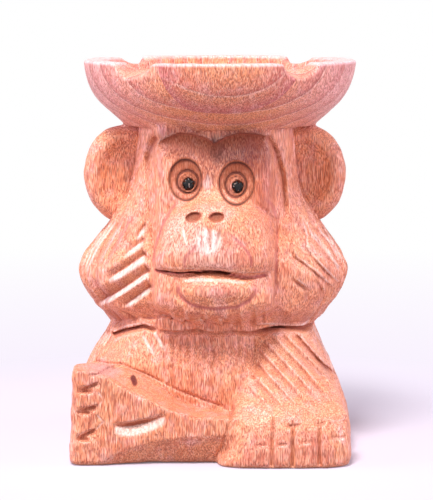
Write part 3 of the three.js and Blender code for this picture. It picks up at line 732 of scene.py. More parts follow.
FOOT_STROKES = [
    # Toes of the right foot
    ([(273.3, 417), (272.5, 440), (271.3, 467)], 1.0, 0.8, 1.0, 1.5, 0.1),
    ([(293, 421), (292.8, 440), (292.6, 468)], 1.2, 0.8, 1.0, 1.5, 0.1),
    ([(319, 420), (319.5, 440), (320, 466)], 1.1, 0.8, 1.0, 1.5, 0.1),
    ([(286, 424.5), (293, 426.5), (300, 424)], 1.3, 0.4, 1.3, 1.5, 1.5),
    ([(312, 423), (319, 424.5), (326, 422)], 1.1, 0.4, 1.1, 1.5, 1.5),
    # Sides of the nails
    ([(281, 446), (281.5, 457)], 0.4, 0.5, 0.5, 0.2, 2),
    ([(303, 444), (304, 460)], 0.4, 0.5, 0.5, 0.2, 2),
    ([(328, 424), (331, 437)], 0.4, 0.5, 0.5, 0.5, 0.5),
    ([(345, 421), (342, 433)], 0.4, 0.5, 0.5, 0.5, 1),
    ([(335, 438), (335.5, 460)], 0.4, 0.5, 0.5, 0.5, 2),
    # Arch of the left foot
    ([(113.5, 425.5), (124, 426.5), (134, 425), (150, 421), (167, 415.5)], 2.2, 1.2, 3.6, 4, 10),
]
NAIL_ROOTS = [
    [(256, 445.5), (269, 445)], [(277, 444.5), (288, 444)], [(299, 442.5), (312, 442)],
    [(328, 424), (346, 421)], [(331, 437.5), (347, 437)],
]
NAIL_ROOT_CUT = (0.5, 0.4, 1.0, 0.5, 0.5)
FOOT_STROKES += [(line, *NAIL_ROOT_CUT) for line in NAIL_ROOTS]
# Wedges between the toes of the left foot: the tip, the ends of the lower and upper faces, and the width
LEFT_TOE_WEDGES = [
    ((77.5, 392.5), (95, 392.5), (99, 383), 2.2),
    ((75.5, 414), (92.5, 414), (98, 405.5), 2.2),
    ((75.5, 440.5), (91, 440.5), (96, 429.5), 2.4),
]
WEDGE_DEPTH = 1.5
for (column, row), lower, upper, width in LEFT_TOE_WEDGES:
    FOOT_STROKES.append(([(column, row), lower], WEDGE_DEPTH, width, 0.5, 2.0, 1.5))
    FOOT_STROKES.append(([(column, row - 1), upper], WEDGE_DEPTH, 0.6, width - 0.2, 2.5, 1.5))
# Crossed cuts behind those toes
CROSSED_CUTS = [
    [(97, 391), (104, 400)], [(97, 408), (104, 399)], [(96, 414), (105, 424)], [(95, 431), (105, 420)],
]
LOWEST_CUT = [(97, 440), (104, 452)]
CROSSED_CUT = (0.35, 0.4, 0.4, 1, 1)
CROSSED_PALE = (0.8, 0.4, 0.4, 1, 1)
FOOT_STROKES += [(line, *CROSSED_CUT) for line in [*CROSSED_CUTS, LOWEST_CUT]]
BODY_STROKES += [
    # Stop cuts between the feet, above the left foot and under the hair
    ([(237, 404), (231, 418), (227, 432), (222, 447), (213, 461)], 0.6, 0.7, 1.0, 2, 1),
    ([(93, 361), (122, 365), (145, 374), (177, 390), (226, 408)], 0.8, 0.8, 0.6, 2, 2),
    (HAIR_HEM, HAIR_HEM_DEPTHS, 0.5, 1.7, 3, 1),
    ([(112, 335), (127, 330), (144, 326), (158, 330)], 2.2, 0.5, 1.5, 1, 2),
    ([(142, 334), (149, 347), (155, 357)], 0.6, 0.6, 0.6, 1, 1),
    ([(155, 332), (166, 353)], 0.6, 0.7, 0.7, 1, 1),
]
# Gouges on the chest, and on the left shoulder under the slope of the hair
CHEST_COLUMNS = np.arange(163, 256, 8.2)
BODY_STROKES += [
    ([(column, 331), (column + 2, 352), (column - 1, varied(376, 30))], varied(0.5, 0.4), 1.3, 1.3, 4, 10)
    for column in CHEST_COLUMNS
]
SHOULDER_COLUMNS = np.arange(118, 160, 6.3)
SHOULDER_TOP = 338
SHOULDER_RISE = 0.2


def shoulder_gouge(column):
    top = SHOULDER_TOP - SHOULDER_RISE * (column - SHOULDER_COLUMNS[0])
    line = [(column, top), (column + 2, 350), (column + 1, varied(358, 10))]
    return line, varied(0.4, 0.4), 0.8, 1.0, 3, 5


BODY_STROKES += [shoulder_gouge(column) for column in SHOULDER_COLUMNS]
head_strokes = strokes(head_form, HEAD_STROKES)
chin_strokes = strokes(head_form, CHIN_STROKES)
body_strokes = strokes(body_form, BODY_STROKES)
foot_strokes = strokes(body_form, FOOT_STROKES)

# Pale lines: painted highlights on edges and facets that face the light, and pale torn fibres and chips; these
# lines only colour the surface
HEAD_PALE_AND_HIGHLIGHT = [
    # Painted highlights on the philtrum, the bridge of the nose and the lips
    ([(205, 224), (205.5, 238), (207.5, 255)], 1.6, 1.0, 1.0, 6, 2),
    ([(213.5, 228), (214, 240), (213.5, 253)], 1.4, 0.7, 0.7, 4, 2),
    ([(221, 230), (219, 241), (215, 254)], 1.2, 0.6, 0.6, 3, 2),
    ([(197, 231), (199, 244), (204, 256)], 0.8, 0.8, 0.8, 3, 2),
    ([(182, 226), (184, 235), (187, 246)], 1.1, 0.6, 0.6, 2, 2),
    ([(206.5, 172), (207.5, 182), (207, 193)], 0.7, 0.8, 0.7, 3, 3),
    ([(180, 281), (200, 279), (225, 280), (250, 283)], 0.7, 0.5, 1.0, 3, 3),
    ([(160, 267), (190, 268.5), (220, 270), (265, 273)], 0.4, 0.8, 0.3, 3, 3),
    # Painted highlights on the lower facets of the locks
    ([(145, 226), (135, 241.5)], 1.0, 0.3, 1.3, 2, 3),
    ([(144, 241), (122, 258)], 1.0, 0.3, 1.2, 2, 3),
    ([(145.5, 255.5), (125, 270), (106, 281.5)], 1.2, 0.3, 2.2, 2, 4),
    ([(149, 272.5), (123, 290.5), (97, 305)], 1.2, 0.3, 1.2, 2, 4),
    ([(151, 288), (123, 308)], 1.1, 0.3, 1.0, 2, 4),
    ([(117, 220.5), (97, 248), (85, 275)], 0.9, 0.4, 0.4, 2, 5),
    ([(112.5, 221.5), (91.5, 252), (82.5, 275)], 0.9, 0.4, 0.4, 2, 5),
    ([(108.5, 222), (87, 255), (81, 273)], 0.8, 0.3, 0.3, 2, 5),
    ([(124, 220), (110, 244), (96, 271)], 0.5, 0.6, 0.5, 3, 6),
    ([(301.5, 219), (307.5, 236), (307.5, 247), (313.5, 256), (322, 265), (341, 284)], 0.9, 0.4, 0.4, 3, 4),
    ([(304.5, 216.5), (311, 233.5), (319, 243.5), (334, 261.5), (343.5, 271)], 0.9, 0.4, 0.4, 3, 4),
    ([(311.8, 231), (328.5, 252.5), (342, 275)], 0.9, 0.4, 0.4, 3, 4),
    ([(316.3, 226), (328.5, 241), (342, 263)], 0.9, 0.4, 0.4, 2, 4),
    ([(323, 226), (334.5, 245.5), (346, 266)], 0.8, 0.4, 0.4, 2, 4),
    ([(291, 245), (298, 258), (306, 263), (318, 273), (335, 288.5)], 0.5, 0.5, 0.5, 3, 4),
    ([(294, 277), (310, 288)], 0.7, 0.5, 0.4, 2, 3),
    # Chips along the edge of the hair
    ([(258, 325.5), (275, 325), (298, 328), (311, 320.5)], 0.9, 0.6, 0.4, 2, 2),
    ([(113, 332), (127, 326), (144, 322.5)], 0.6, 0.5, 0.4, 2, 2),
]
BODY_PALE_AND_HIGHLIGHT = [
    # Painted highlights on the arch of the left foot and its edges
    ([(114, 427.5), (122, 429.5), (133, 429), (150, 424.5), (166, 417)], 2.0, 0.5, 2.6, 3, 5),
    ([(102, 376), (122.5, 389), (152.6, 407), (171.6, 412.5), (199.5, 417)], 0.35, 0.5, 0.5, 3, 3),
    ([(93, 362), (122, 366), (145, 375), (177, 391), (225, 409)], 0.35, 0.5, 0.5, 3, 3),
    ([(108, 463), (122.5, 448), (138, 440), (160, 437), (194, 436.5), (226, 439)], 0.5, 0.4, 0.3, 2, 2),
    # Painted highlights on the edges of the combed lines of the left haunch
    ([(107.3, 331.5), (97, 346.5)], 0.8, 0.35, 0.35, 1, 1),
    ([(109.8, 332.5), (99.5, 347)], 0.8, 0.35, 0.35, 1, 1),
    ([(112, 334), (102.5, 347.5)], 0.8, 0.35, 0.35, 1, 1),
    # Painted highlights on the edges of the combed lines of the right haunch
    ([(311.5, 324), (327, 354), (340.5, 386)], 0.8, 0.4, 0.4, 2, 4),
    ([(314.5, 323), (330.5, 353), (344, 386)], 0.8, 0.4, 0.4, 2, 4),
    ([(317, 322), (333.5, 352), (347, 386)], 0.8, 0.35, 0.35, 2, 4),
    # Torn fibres under the hair
    ([(142, 334), (149, 347), (155, 357)], 1.0, 0.7, 0.7, 1, 2),
    ([(154, 332), (166, 353)], 1.0, 0.8, 0.8, 1, 3),
    ([(146, 357), (160, 364)], 0.5, 0.5, 0.5, 2, 2),
    # Painted highlights on the edges of the nails
    ([(328, 422), (346, 419.5)], 0.6, 0.5, 0.4, 1, 1),
    ([(331, 440), (347, 439.5)], 0.6, 0.4, 0.5, 1, 1),
    ([(299, 445), (312, 444.5)], 0.6, 0.4, 0.5, 1, 1),
    ([(277, 447), (288, 446.5)], 0.6, 0.4, 0.5, 1, 1),
]
BODY_PALE_AND_HIGHLIGHT += [(line, *CROSSED_PALE) for line in CROSSED_CUTS]
# Painted highlights along the ridges of the right haunch
HAUNCH_EDGE_SHIFT = 3
HAUNCH_EDGE_HIGHLIGHT = (0.4, 0.5, 0.4, 3, 12)
for line in HAUNCH_LINES:
    edge = [(column + HAUNCH_EDGE_SHIFT, row) for column, row in line]
    BODY_PALE_AND_HIGHLIGHT.append((edge, *HAUNCH_EDGE_HIGHLIGHT))
# Mauve growth rings that show as contours on the muzzle and the lips
HEAD_MAUVE = [
    ([(180, 199), (172, 209), (162.5, 226), (156, 245), (152.5, 266)], 1.0, 0.7, 0.5, 3, 2),
    ([(262, 196), (272, 204), (277.5, 220), (277, 249), (275.5, 292)], 0.9, 0.5, 0.7, 3, 4),
    ([(185.5, 270), (184, 262), (187, 255), (195, 248), (203, 240)], 1.1, 0.6, 0.6, 1, 4),
    ([(251, 269), (251.5, 260), (248, 252), (241, 244), (231, 235), (224, 230)], 1.1, 0.6, 0.6, 1, 4),
    (MOUTH, 1.3, 0.4, 0.9, 0.5, 0.5),
    ([(134, 212), (120, 240), (104, 267)], 0.7, 0.9, 0.9, 3, 4),
    ([(127, 214), (110, 243), (95, 270)], 0.5, 0.7, 0.7, 3, 4),
    ([(180.5, 283), (178.5, 293), (183, 301), (192, 306), (204, 309), (218, 310), (237, 308), (250, 302),
      (255, 293), (253.5, 283)], 1.0, 1.4, 0.5, 2, 2),
]
head_mauve = strokes(head_form, HEAD_MAUVE)
head_pale_and_highlight = strokes(head_form, HEAD_PALE_AND_HIGHLIGHT)
body_pale_and_highlight = strokes(body_form, BODY_PALE_AND_HIGHLIGHT)

# Nostrils and eyes: middles, half sizes in pixels and tilts in degrees; depths in millimetres
NOSTRILS = [((193.4, 217.6), 8.8, 5.0, 16), ((216.6, 217.6), 8.2, 4.9, 6)]
NOSTRIL_DEPTH = 1.2
NOSTRIL_WALL = (1.0, 0.75)
NOSTRIL_LEAN = 0.3
EYES = {
    "left": {
        "socket": ((185.5, 179.7), 16.4, 20.5, 0),
        "ball": ((187.6, 182), 10.6, 11.2, 0),
        "pupil": ((188.4, 184.3), 4.9, 5.4, 0),
    },
    "right": {
        "socket": ((236.8, 183), 17.7, 21, 0),
        "ball": ((236, 185), 10.4, 12, 0),
        "pupil": ((237.6, 187), 4.8, 5.4, 0),
    },
}
SOCKET_DEPTH = 0.7
SOCKET_WALL = (1.03, 0.88)
SOCKET_LEAN = 0.45
SOCKET_RING_AT = 0.95
SOCKET_RING_DEPTH = 0.35
BALL_RING_DEPTH = 0.7
RING_HALF_WIDTH = 0.5
BALL_DOME = 0.5
PUPIL_HOLE = 2.0
PUPIL_WALL = (1.35, 1.05)


def oval_share(x, z, oval):
    """Distance from an oval's middle over its own radius there, the height in it, and its mean radius."""
    (column, row), half_width, half_height, tilt = oval
    (cx, _, cz), = on_surface(head_form, [(column, row)])
    a, b = half_width / PIXELS_PER_MM, half_height / PIXELS_PER_MM
    cos, sin = math.cos(math.radians(tilt)), math.sin(math.radians(tilt))
    right, above = x[:, None] - cx, z[None, :] - cz
    along, up = (right * cos + above * sin) / a, (above * cos - right * sin) / b
    return np.hypot(along, up), np.clip(up, -1, 1), (a + b) / 2


def ring_line(share, at, radius, half_width):
    """1 on a ring at a share of an oval's radius, falling to 0 over a half width."""
    return np.clip(1 - np.abs(share - at) * radius / half_width, 0, 1)


def carve_ovals(depths, x, z):
    for oval in NOSTRILS:
        share, up, _ = oval_share(x, z, oval)
        hollow = NOSTRIL_DEPTH * smooth_step(*NOSTRIL_WALL, share) * (1 + NOSTRIL_LEAN * up)
        np.maximum(depths, hollow, out=depths)
    for eye in EYES.values():
        share, up, radius = oval_share(x, z, eye["socket"])
        hollow = SOCKET_DEPTH * smooth_step(*SOCKET_WALL, share) * (1 + SOCKET_LEAN * up)
        hollow += SOCKET_RING_DEPTH * ring_line(share, SOCKET_RING_AT, radius, RING_HALF_WIDTH)
        share, _, radius = oval_share(x, z, eye["ball"])
        hollow += BALL_RING_DEPTH * ring_line(share, 1, radius, RING_HALF_WIDTH)
        hollow -= BALL_DOME * np.clip(1 - share**2, 0, 1)
        share, _, _ = oval_share(x, z, eye["pupil"])
        hollow = np.maximum(hollow, PUPIL_HOLE * smooth_step(*PUPIL_WALL, share))
        np.maximum(depths, hollow, out=depths)


UNTINTED_RIDGE_EDGE = (1.9, 1.3)


def oval_marks(x, z):
    """1 round the eyes and nostrils, whose edges get no pale ridge tint of wear and painted highlight."""
    ovals = NOSTRILS + [eye["socket"] for eye in EYES.values()]
    return np.maximum.reduce([smooth_step(*UNTINTED_RIDGE_EDGE, oval_share(x, z, oval)[0]) for oval in ovals])


SHADE_EDGE = (1.08, 0.95)
NOSTRIL_SHADE = 1.6
SOCKET_SHADE = 0.75
SOCKET_SHADE_LEAN = 1.1
BALL_EDGE = (1.05, 0.8)
BALL_LIGHTER = 0.5
LINE_SHADE = 5.0
LINE_HALF_WIDTH = 0.5
IRIS_AT = 0.7
IRIS_HALF_WIDTH = LINE_HALF_WIDTH / 1.5


def oval_shades(x, z):
    """Painted shade in the nostrils and sockets, deepest under the brow, with thin dark lines round the sockets
    and on the balls.
    """
    shades = np.zeros((len(x), len(z)))
    for oval in NOSTRILS:
        share, _, _ = oval_share(x, z, oval)
        np.maximum(shades, NOSTRIL_SHADE * smooth_step(*SHADE_EDGE, share), out=shades)
    for eye in EYES.values():
        around, up, radius = oval_share(x, z, eye["socket"])
        ball, _, ball_radius = oval_share(x, z, eye["ball"])
        socket = smooth_step(*SHADE_EDGE, around) * SOCKET_SHADE * (1 + SOCKET_SHADE_LEAN * up)
        np.maximum(shades, socket * (1 - BALL_LIGHTER * smooth_step(*BALL_EDGE, ball)), out=shades)
        lines = (
            ring_line(around, 1, radius, LINE_HALF_WIDTH),
            ring_line(ball, 1, ball_radius, LINE_HALF_WIDTH),
            ring_line(ball, IRIS_AT, ball_radius, IRIS_HALF_WIDTH),
        )
        np.maximum(shades, LINE_SHADE * np.maximum.reduce(lines), out=shades)
    return shades


def front_depths(cuts, x, z):
    depths = np.zeros((len(x), len(z)))
    for cut in cuts:
        cut.add_to(depths, x, z)
    return depths


class Waves:
    """A smooth random field made of plane waves of about one length."""

    COUNT = 14
    SPREAD = (0.7, 1.5)

    def __init__(self, length, stretch=(1, 1, 1)):
        ways = random.normal(size=(self.COUNT, 3))
        ways /= np.linalg.norm(ways, axis=1)[:, None]
        sizes = 2 * math.pi / (length * random.uniform(*self.SPREAD, self.COUNT))
        self.ways = (ways * sizes[:, None] / np.array(stretch)).astype(np.float32)
        self.phases = random.uniform(0, 2 * math.pi, self.COUNT).astype(np.float32)

    def at(self, x, y, z):
        total = np.float32(0)
        for (wx, wy, wz), phase in zip(self.ways, self.phases):
            wave = np.exp(1j * (wx * x + phase)) * np.exp(1j * wy * y) * np.exp(1j * wz * z)
            total = total + wave.real
        return (total * math.sqrt(2 / self.COUNT)).astype(np.float32)


scoops = Waves(11, stretch=(1, 1, 1.6))
dents = Waves(4.5)
parting = Waves(24)

# Fine grooves of the hair: pitch in degrees, slant by height, depth, and the angles from the front over
# which they begin
HAIR = {
    "hood": (3.1, 0.02, 0.35, 58, 70),
    "haunch_left": (5.0, 0.07, 0.7, 52, 70),
    "haunch_right": (5.0, 0.07, 0.7, 60, 80),
    "torso": (6.0, 0.03, 0.5, 70, 100),
}
HAIR_WANDER = 0.5
HAIR_GROOVE = 0.75


def sawtooth(place):
    """1 at whole numbers and 0 halfway between them."""
    return np.abs(place - np.floor(place) - 0.5) * 2


def hair(x, y, z, pitch, slant, depth, start, end):
    angle = np.degrees(np.arctan2(np.abs(x), -y)).astype(np.float32)
    place = angle / pitch + slant * z + HAIR_WANDER * parting.at(x, y, z)
    groove = np.clip(1 - sawtooth(place) / HAIR_GROOVE, 0, 1)
    return depth * groove * smooth_step(start, end, angle)


# Main grooves of the combed hair, as in the part
COMB_START = 62.0
COMB_GROOVES = 28
COMB_PITCH = (360 - 2 * COMB_START) / COMB_GROOVES
COMB_DEPTH = 1.0


def comb(x, y, z):
    middle = HOOD.at(np.clip(z, HOOD.z[0], HOOD.z[-1]))[0]
    angle = np.degrees(np.arctan2(np.abs(x - middle), -y)).astype(np.float32)
    place = (angle - COMB_START) / COMB_PITCH
    return COMB_DEPTH * (1 - sawtooth(place)) * (angle > COMB_START)


# The knife works from the front: depths along Y between which its cuts run out
FRONT_NEAR = -4.0
FRONT_FAR = 3.0
FOOT_NEAR = -29.0
FOOT_FAR = -25.0
FOOT_ROUND = 2.2
# How deep the broad facets and the small dents of the knife are
HEAD_ROUGH = (0.1, 0.05)
BODY_ROUGH = (0.22, 0.07)
DISH_ROUGH = (0.05, 0.02)


def knife_depths(x, z):
    """Depths of the cuts of the head, body and feet, and of the slopes under the hair, in the front view."""
    head = front_depths([s for s in head_strokes if not s.ramp], x, z)
    carve_ovals(head, x, z)
    slopes = front_depths([s for s in head_strokes if s.ramp], x, z) + front_depths(chin_strokes, x, z)
    body, feet = front_depths(body_strokes, x, z), front_depths(foot_strokes, x, z)
    return {"head": head, "slopes": slopes, "body": body, "feet": feet}


def carve(f, x, y, z, knife):
    """The carving after the knife work."""
    facing = smooth_step(FRONT_FAR, FRONT_NEAR, y)
    foremost = smooth_step(FOOT_FAR, FOOT_NEAR, y)
    facets = np.abs(scoops.at(x, y, z))
    small = dents.at(x, y, z)

    def rough(depths):
        return depths[0] * facets + depths[1] * small

    combed = dict(f)
    combed["hood"] = f["hood"] + comb(x, y, z)
    for name, grooves in HAIR.items():
        combed[name] = combed[name] + hair(x, y, z, *grooves)
    head_depths = knife["head"] + knife["slopes"]
    head = head_sides(combed) + head_depths[:, None, :] * facing + rough(HEAD_ROUGH)
    head = np.maximum(head, head_ends(f, HEAD_TOP))
    body_depths = knife["body"][:, None, :] * facing + knife["feet"][:, None, :] * foremost
    body = body_sides(combed) + body_depths + rough(BODY_ROUGH)
    whole = smooth_min(smooth_min(head, body, HEM_BLEND), f["dish"] + rough(DISH_ROUGH), DISH_BLEND)
    return smooth_max(whole, -z, FOOT_ROUND)


OVERLAP = 0.35
# Room round each node's box for the wood that the knife work moves from its neighbours
MARGIN = 1.8
MARGINS = {
    "muzzle": 2.5, "jaw": 7.0, "head": 4.5, "mane_left": 4.5, "mane_right": 4.5, "ear_left": 5.0,
    "ear_right": 5.0, "torso": 9.0, "haunch_left": 7.0, "haunch_right": 7.0, "foot_left": 8.0,
    "foot_right": 14.0,
}
VOXEL = 0.4
LARGE_VOXELS = {"dish": 0.46, "head": 0.45, "torso": 0.45}
RELIEF_REACH = 1.0
SIDE_TURN = -0.05
FRONT_TURN = 0.2
BODY_NODES = ("torso", "haunch_left", "haunch_right", "foot_left", "foot_right")


def drawn_marks(node, knife, x, z):
    """Maps of the front view that colour a node: cuts, which carry painted shade, pale wood with painted
    highlights, mauve rings, and marks round the eyes and nostrils where ridges get no pale tint.
    """
    if node in BODY_NODES:
        cuts = knife["body"] + knife["feet"] * node.startswith("foot")
        pale, mauve = body_pale_and_highlight, []
    else:
        # The painted shade of the sockets and nostrils joins the head's cuts
        cuts = knife["head"] + oval_shades(x, z)
        pale, mauve = head_pale_and_highlight, head_mauve
    return {
        "cut": cuts,
        "pale": front_depths(pale, x, z),
        "mauve": front_depths(mauve, x, z),
        "oval": oval_marks(x, z),
    }


def carved_mesh(node):
    """Points and quads of one node's share of the carving, and the marks on its points that colour it:
    its relief, which is positive on ridges, and what is drawn on it from the front."""
    low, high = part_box(node)
    margin = MARGINS.get(node, MARGIN)
    voxel = LARGE_VOXELS.get(node, VOXEL)
    low = np.array(low) / MM - FRAME_SHIFT - margin
    high = np.array(high) / MM - FRAME_SHIFT + margin
    axes = [np.arange(low[i], high[i] + voxel, voxel, dtype=np.float32) for i in range(3)]
    x, y, z = axes[0][:, None, None], axes[1][None, :, None], axes[2][None, None, :]
    f = solid_fields(x, y, z)
    own = owners(f)
    mine = own.pop(node)
    others = np.minimum.reduce(list(own.values()))
    knife = knife_depths(axes[0], axes[2])
    carved = carve(f, x, y, z, knife).astype(np.float32)
    values = np.maximum(carved, (mine - others) / 2 - OVERLAP)
    for axis in range(3):
        if (values.take([0, -1], axis) < 0).any():
            raise ValueError("The box round " + node + " cuts it off")
    points, quads = surface_net(values)
    points = settle(values, points, quads)
    places = low + points * voxel
    reach = RELIEF_REACH / voxel
    around = np.array([sample(carved, points + sign * reach * e) for e in np.eye(3) for sign in (-1, 1)])
    slope = around[1::2] - around[::2]
    to_front = -slope[1] / np.maximum(np.linalg.norm(slope, axis=0), SMALL)
    facing = smooth_step(FRONT_FAR, FRONT_NEAR, places[:, 1]) * smooth_step(SIDE_TURN, FRONT_TURN, to_front)
    marks = {"relief": around.mean(0) - sample(carved, points)}
    for name, drawn in drawn_marks(node, knife, axes[0], axes[2]).items():
        marks[name] = facing * sample(np.stack([drawn, drawn], 1), points * (1, 0, 1))
    return places, quads, marks


def add_object(name, data):
    made = bpy.data.objects.new(name, data)
    bpy.context.scene.collection.objects.link(made)
    return made


def add_mesh(name, points, faces):
    """A smooth piece from points of the carving's own frame."""
    mesh = bpy.data.meshes.new(name)
    mesh.from_pydata(((points + FRAME_SHIFT) * MM).tolist(), [], faces)
    mesh.validate()
    mesh.update()
    mesh.shade_smooth()
    return add_object(name, mesh)


# Materials
def linear(red, green, blue):
    """A colour given in the 0 to 255 of a picture, as light."""
    share = np.array([red, green, blue]) / 255
    light = np.where(share <= 0.04045, share / 12.92, ((share + 0.055) / 1.055) ** 2.4)
    return (*light, 1.0)


class Nodes:
    """Short calls for the nodes of one tree."""

    def __init__(self, tree):
        self.tree = tree

    def add(self, kind, values=(), **settings):
        node = self.tree.nodes.new(kind)
        for name, value in settings.items():
            setattr(node, name, value)
        for socket, value in dict(values).items():
            self.feed(node.inputs[socket], value)
        return node

    def feed(self, socket, value):
        if isinstance(value, bpy.types.NodeSocket):
            self.tree.links.new(value, socket)
        else:
            socket.default_value = value

    def math(self, operation, a, b=0.0):
        return self.add("ShaderNodeMath", {0: a, 1: b}, operation=operation).outputs[0]

    def vector(self, operation, a, b):
        return self.add("ShaderNodeVectorMath", {0: a, 1: b}, operation=operation).outputs[0]

    def length(self, a):
        return self.add("ShaderNodeVectorMath", {0: a}, operation="LENGTH").outputs["Value"]

    def place(self):
        return self.add("ShaderNodeTexCoord").outputs["Object"]

    def attribute(self, name):
        return self.add("ShaderNodeAttribute", attribute_name=name).outputs["Fac"]

    def noise(self, place, squeeze, scale, detail, rough):
        along = self.vector("MULTIPLY", place, (1.0, 1.0, squeeze))
        values = {"Vector": along, "Scale": scale, "Detail": detail, "Roughness": rough}
        return self.add("ShaderNodeTexNoise", values).outputs[0]

    def range(self, value, low, high, to_low=0.0, to_high=1.0):
        values = {0: value, 1: low, 2: high, 3: to_low, 4: to_high}
        return self.add("ShaderNodeMapRange", values, clamp=True).outputs[0]

    def mix(self, share, a, b):
        return self.add("ShaderNodeMix", {0: share, 6: a, 7: b}, data_type="RGBA").outputs[2]

    def layers(self, sources, colour, rows):
        """Lays tints over a colour. The share of each is the product of its ramps, whose rows have a source,
        the values between which it rises and, unless they are 0 and 1, the shares there."""
        for ramps, tint in rows:
            share = 1.0
            for name, *ramp in ramps:
                share = self.math("MULTIPLY", share, self.range(sources[name], *ramp))
            colour = self.mix(share, colour, linear(*tint))
        return colour

    def shown_ray(self):
        """1 for rays that show the surroundings: to the camera, in a reflection or through glass."""
        path = self.add("ShaderNodeLightPath").outputs
        seen = self.math("MAXIMUM", path["Is Camera Ray"], path["Is Glossy Ray"])
        return self.math("MAXIMUM", seen, path["Is Transmission Ray"])


def new_material(name):
    material = bpy.data.materials.new(name)
    material.use_nodes = True
    return material, Nodes(material.node_tree), material.node_tree.nodes["Principled BSDF"]


# Growth rings of the wood, and the broad one that shows as an arc on the front of the dish
PITH = (0.35, 40.3, 0.0)
RING_SPACING = 4.6
RING_AT = 75.9
RING_TILT = 0.06
RING_TILT_FROM = 104.0
RING_WANDER = 2.5
MAIN_RING_AT = 35.2
MAIN_RING_BEND = (-7, -17, 0.0, 3.5)
MAIN_RING_FADE = (0.0, 4.6, 1.0, 0.0)
DISH_FADE = (DISH_EDGE_Z - 2, DISH_EDGE_Z)
# Noises: the squeeze along the grain, the scale for each millimetre, the detail and the roughness
NOISES = {
    "drift": (0.35, 0.035, 1.0, 0.5),
    "broad": (0.35, 0.06, 2.0, 0.5),
    "cool": (1.0, 0.22, 3.0, 0.6),
    "fine": (0.14, 3.2, 1.0, 0.5),
    "fibre": (0.06, 1.6, 3.0, 0.6),
    "pores": (0.07, 4.2, 1.0, 0.5),
}
PORE = (0.52, 0.64)
WOOD = (238, 149, 105)
# Tints under the grain: pale wood, the dish lightened as painted light with a painted lavender sheen on its
# sides, rings, cool patches, flecks, and ridges lightened by wear together with a painted highlight
UNDER_GRAIN = [
    ([("broad", 0.35, 0.7)], (250, 171, 127)),
    # Painted light: the whole dish lighter, standing in for light that its down-facing outside misses
    ([("on_dish", 0, 1, 0, 0.6)], (255, 172, 122)),
    # Painted lavender sheen on the sides of the dish
    ([("on_dish", 0, 1), ("aside", 15, 40, 0.0, 0.6)], (253, 192, 206)),
    ([("ring", 0.0, 0.6, 0.7, 0.0), ("on_dish", 0, 1, 0.35, 1.0)], (210, 112, 108)),
    ([("ring", 0.02, 0.14, 0.6, 0.0), ("broad", 0.35, 0.65), ("on_dish", 0, 1)], (166, 84, 84)),
    ([("ring", 0.9, 0.97, 0.0, 0.7), ("on_dish", 0, 1, 0.2, 1.0)], (255, 208, 190)),
    ([("main_ring", 0, 1), ("on_dish", 0, 1, 0.3, 0.95)], (208, 114, 118)),
    ([("cool", 0.5, 0.75, 0.0, 0.5)], (250, 196, 198)),
    ([("fine", 0.48, 0.32, 0.0, 0.5)], (255, 210, 182)),
    # Ridges lighter: wear together with a painted highlight, held back round the eyes and nostrils
    ([("relief", 0.1, 0.35), ("fibre", 0.3, 0.55), ("oval", 0, 1, 0.6, 0.06)], (255, 226, 212)),
]
GRAIN = [
    ([("fibre", 0.46, 0.72, 0.0, 0.55)], (190, 92, 62)),
    ([("pores", *PORE, 0.0, 0.65)], (150, 68, 48)),
    ([("fine", 0.52, 0.68, 0.0, 0.6)], (180, 84, 60)),
]
# Tints over the grain: the worn rim, mauve rings, painted shade in the cuts, sockets and nostrils and darker
# still in the deepest, painted shade in hollows, and pale wood with painted highlights
OVER_GRAIN = [
    ([("height", RIM_Z - 1.2, RIM_Z - 0.4), ("fibre", 0.35, 0.6, 0.7, 0.3)], (250, 228, 230)),
    ([("mauve", 0.1, 0.9, 0.0, 0.75)], (186, 92, 92)),
    # Painted shade in the cuts, sockets and nostrils
    ([("cut", 0.4, 2.2, 0.0, 0.75)], (156, 76, 44)),
    ([("cut", 2.4, 3.6, 0.0, 0.8)], (66, 32, 26)),
    # Painted shade in hollows
    ([("relief", -0.06, -0.35, 0.0, 0.5)], (160, 76, 58)),
    # Pale torn fibres and painted highlights on edges and facets that face the light
    ([("pale", 0.15, 0.7), ("fibre", 0.35, 0.6, 0.9, 0.4)], (255, 234, 222)),
]
FIBRE_ROUGHNESS = (0.3, 0.7, 0.36, 0.52)
CUT_ROUGHNESS = (0.5, 1.5, 0.3, 0.85)
FIBRE_HEIGHT = 0.35
GRAIN_RELIEF = {"Strength": 0.9, "Distance": 0.00016}


def spot(form, pixel, radii, share, tint):
    """A soft-edged colour mark where a pixel of the photograph falls on a form; it places knots, heart wood,
    painted shade and painted highlights.
    """
    (middle,) = on_surface(form, [pixel]) + FRAME_SHIFT
    return tuple(middle), radii, share, linear(*tint)


# Pin knot on the left foot
KNOTS = [
    spot(body_form, (133.2, 378.5), (1.1, 3.0, 1.9), 0.95, (92, 20, 28)),
    spot(body_form, (134.6, 382), (1.1, 3.0, 1.7), 0.9, (104, 26, 30)),
]
# Dark heart wood on the forehead, in streaks over the grain, deepened as the painted shadow of the dish
HEARTWOOD_AND_DISH_SHADOW = [
    spot(head_form, (238, 149), (9.5, 9.0, 9.0), 0.92, (96, 20, 14)),
    spot(head_form, (258, 152), (6.5, 9.0, 9.5), 0.65, (128, 40, 28)),
    spot(head_form, (184, 142), (11.0, 9.0, 7.0), 0.7, (122, 40, 22)),
    spot(head_form, (210, 162), (4.0, 5.0, 9.0), 0.6, (128, 40, 28)),
    spot(head_form, (216.5, 149), (2.8, 5.0, 5.0), 0.8, (62, 16, 12)),
]
HEART_STREAKS = (0.4, 0.6, 0.6, 1.0)
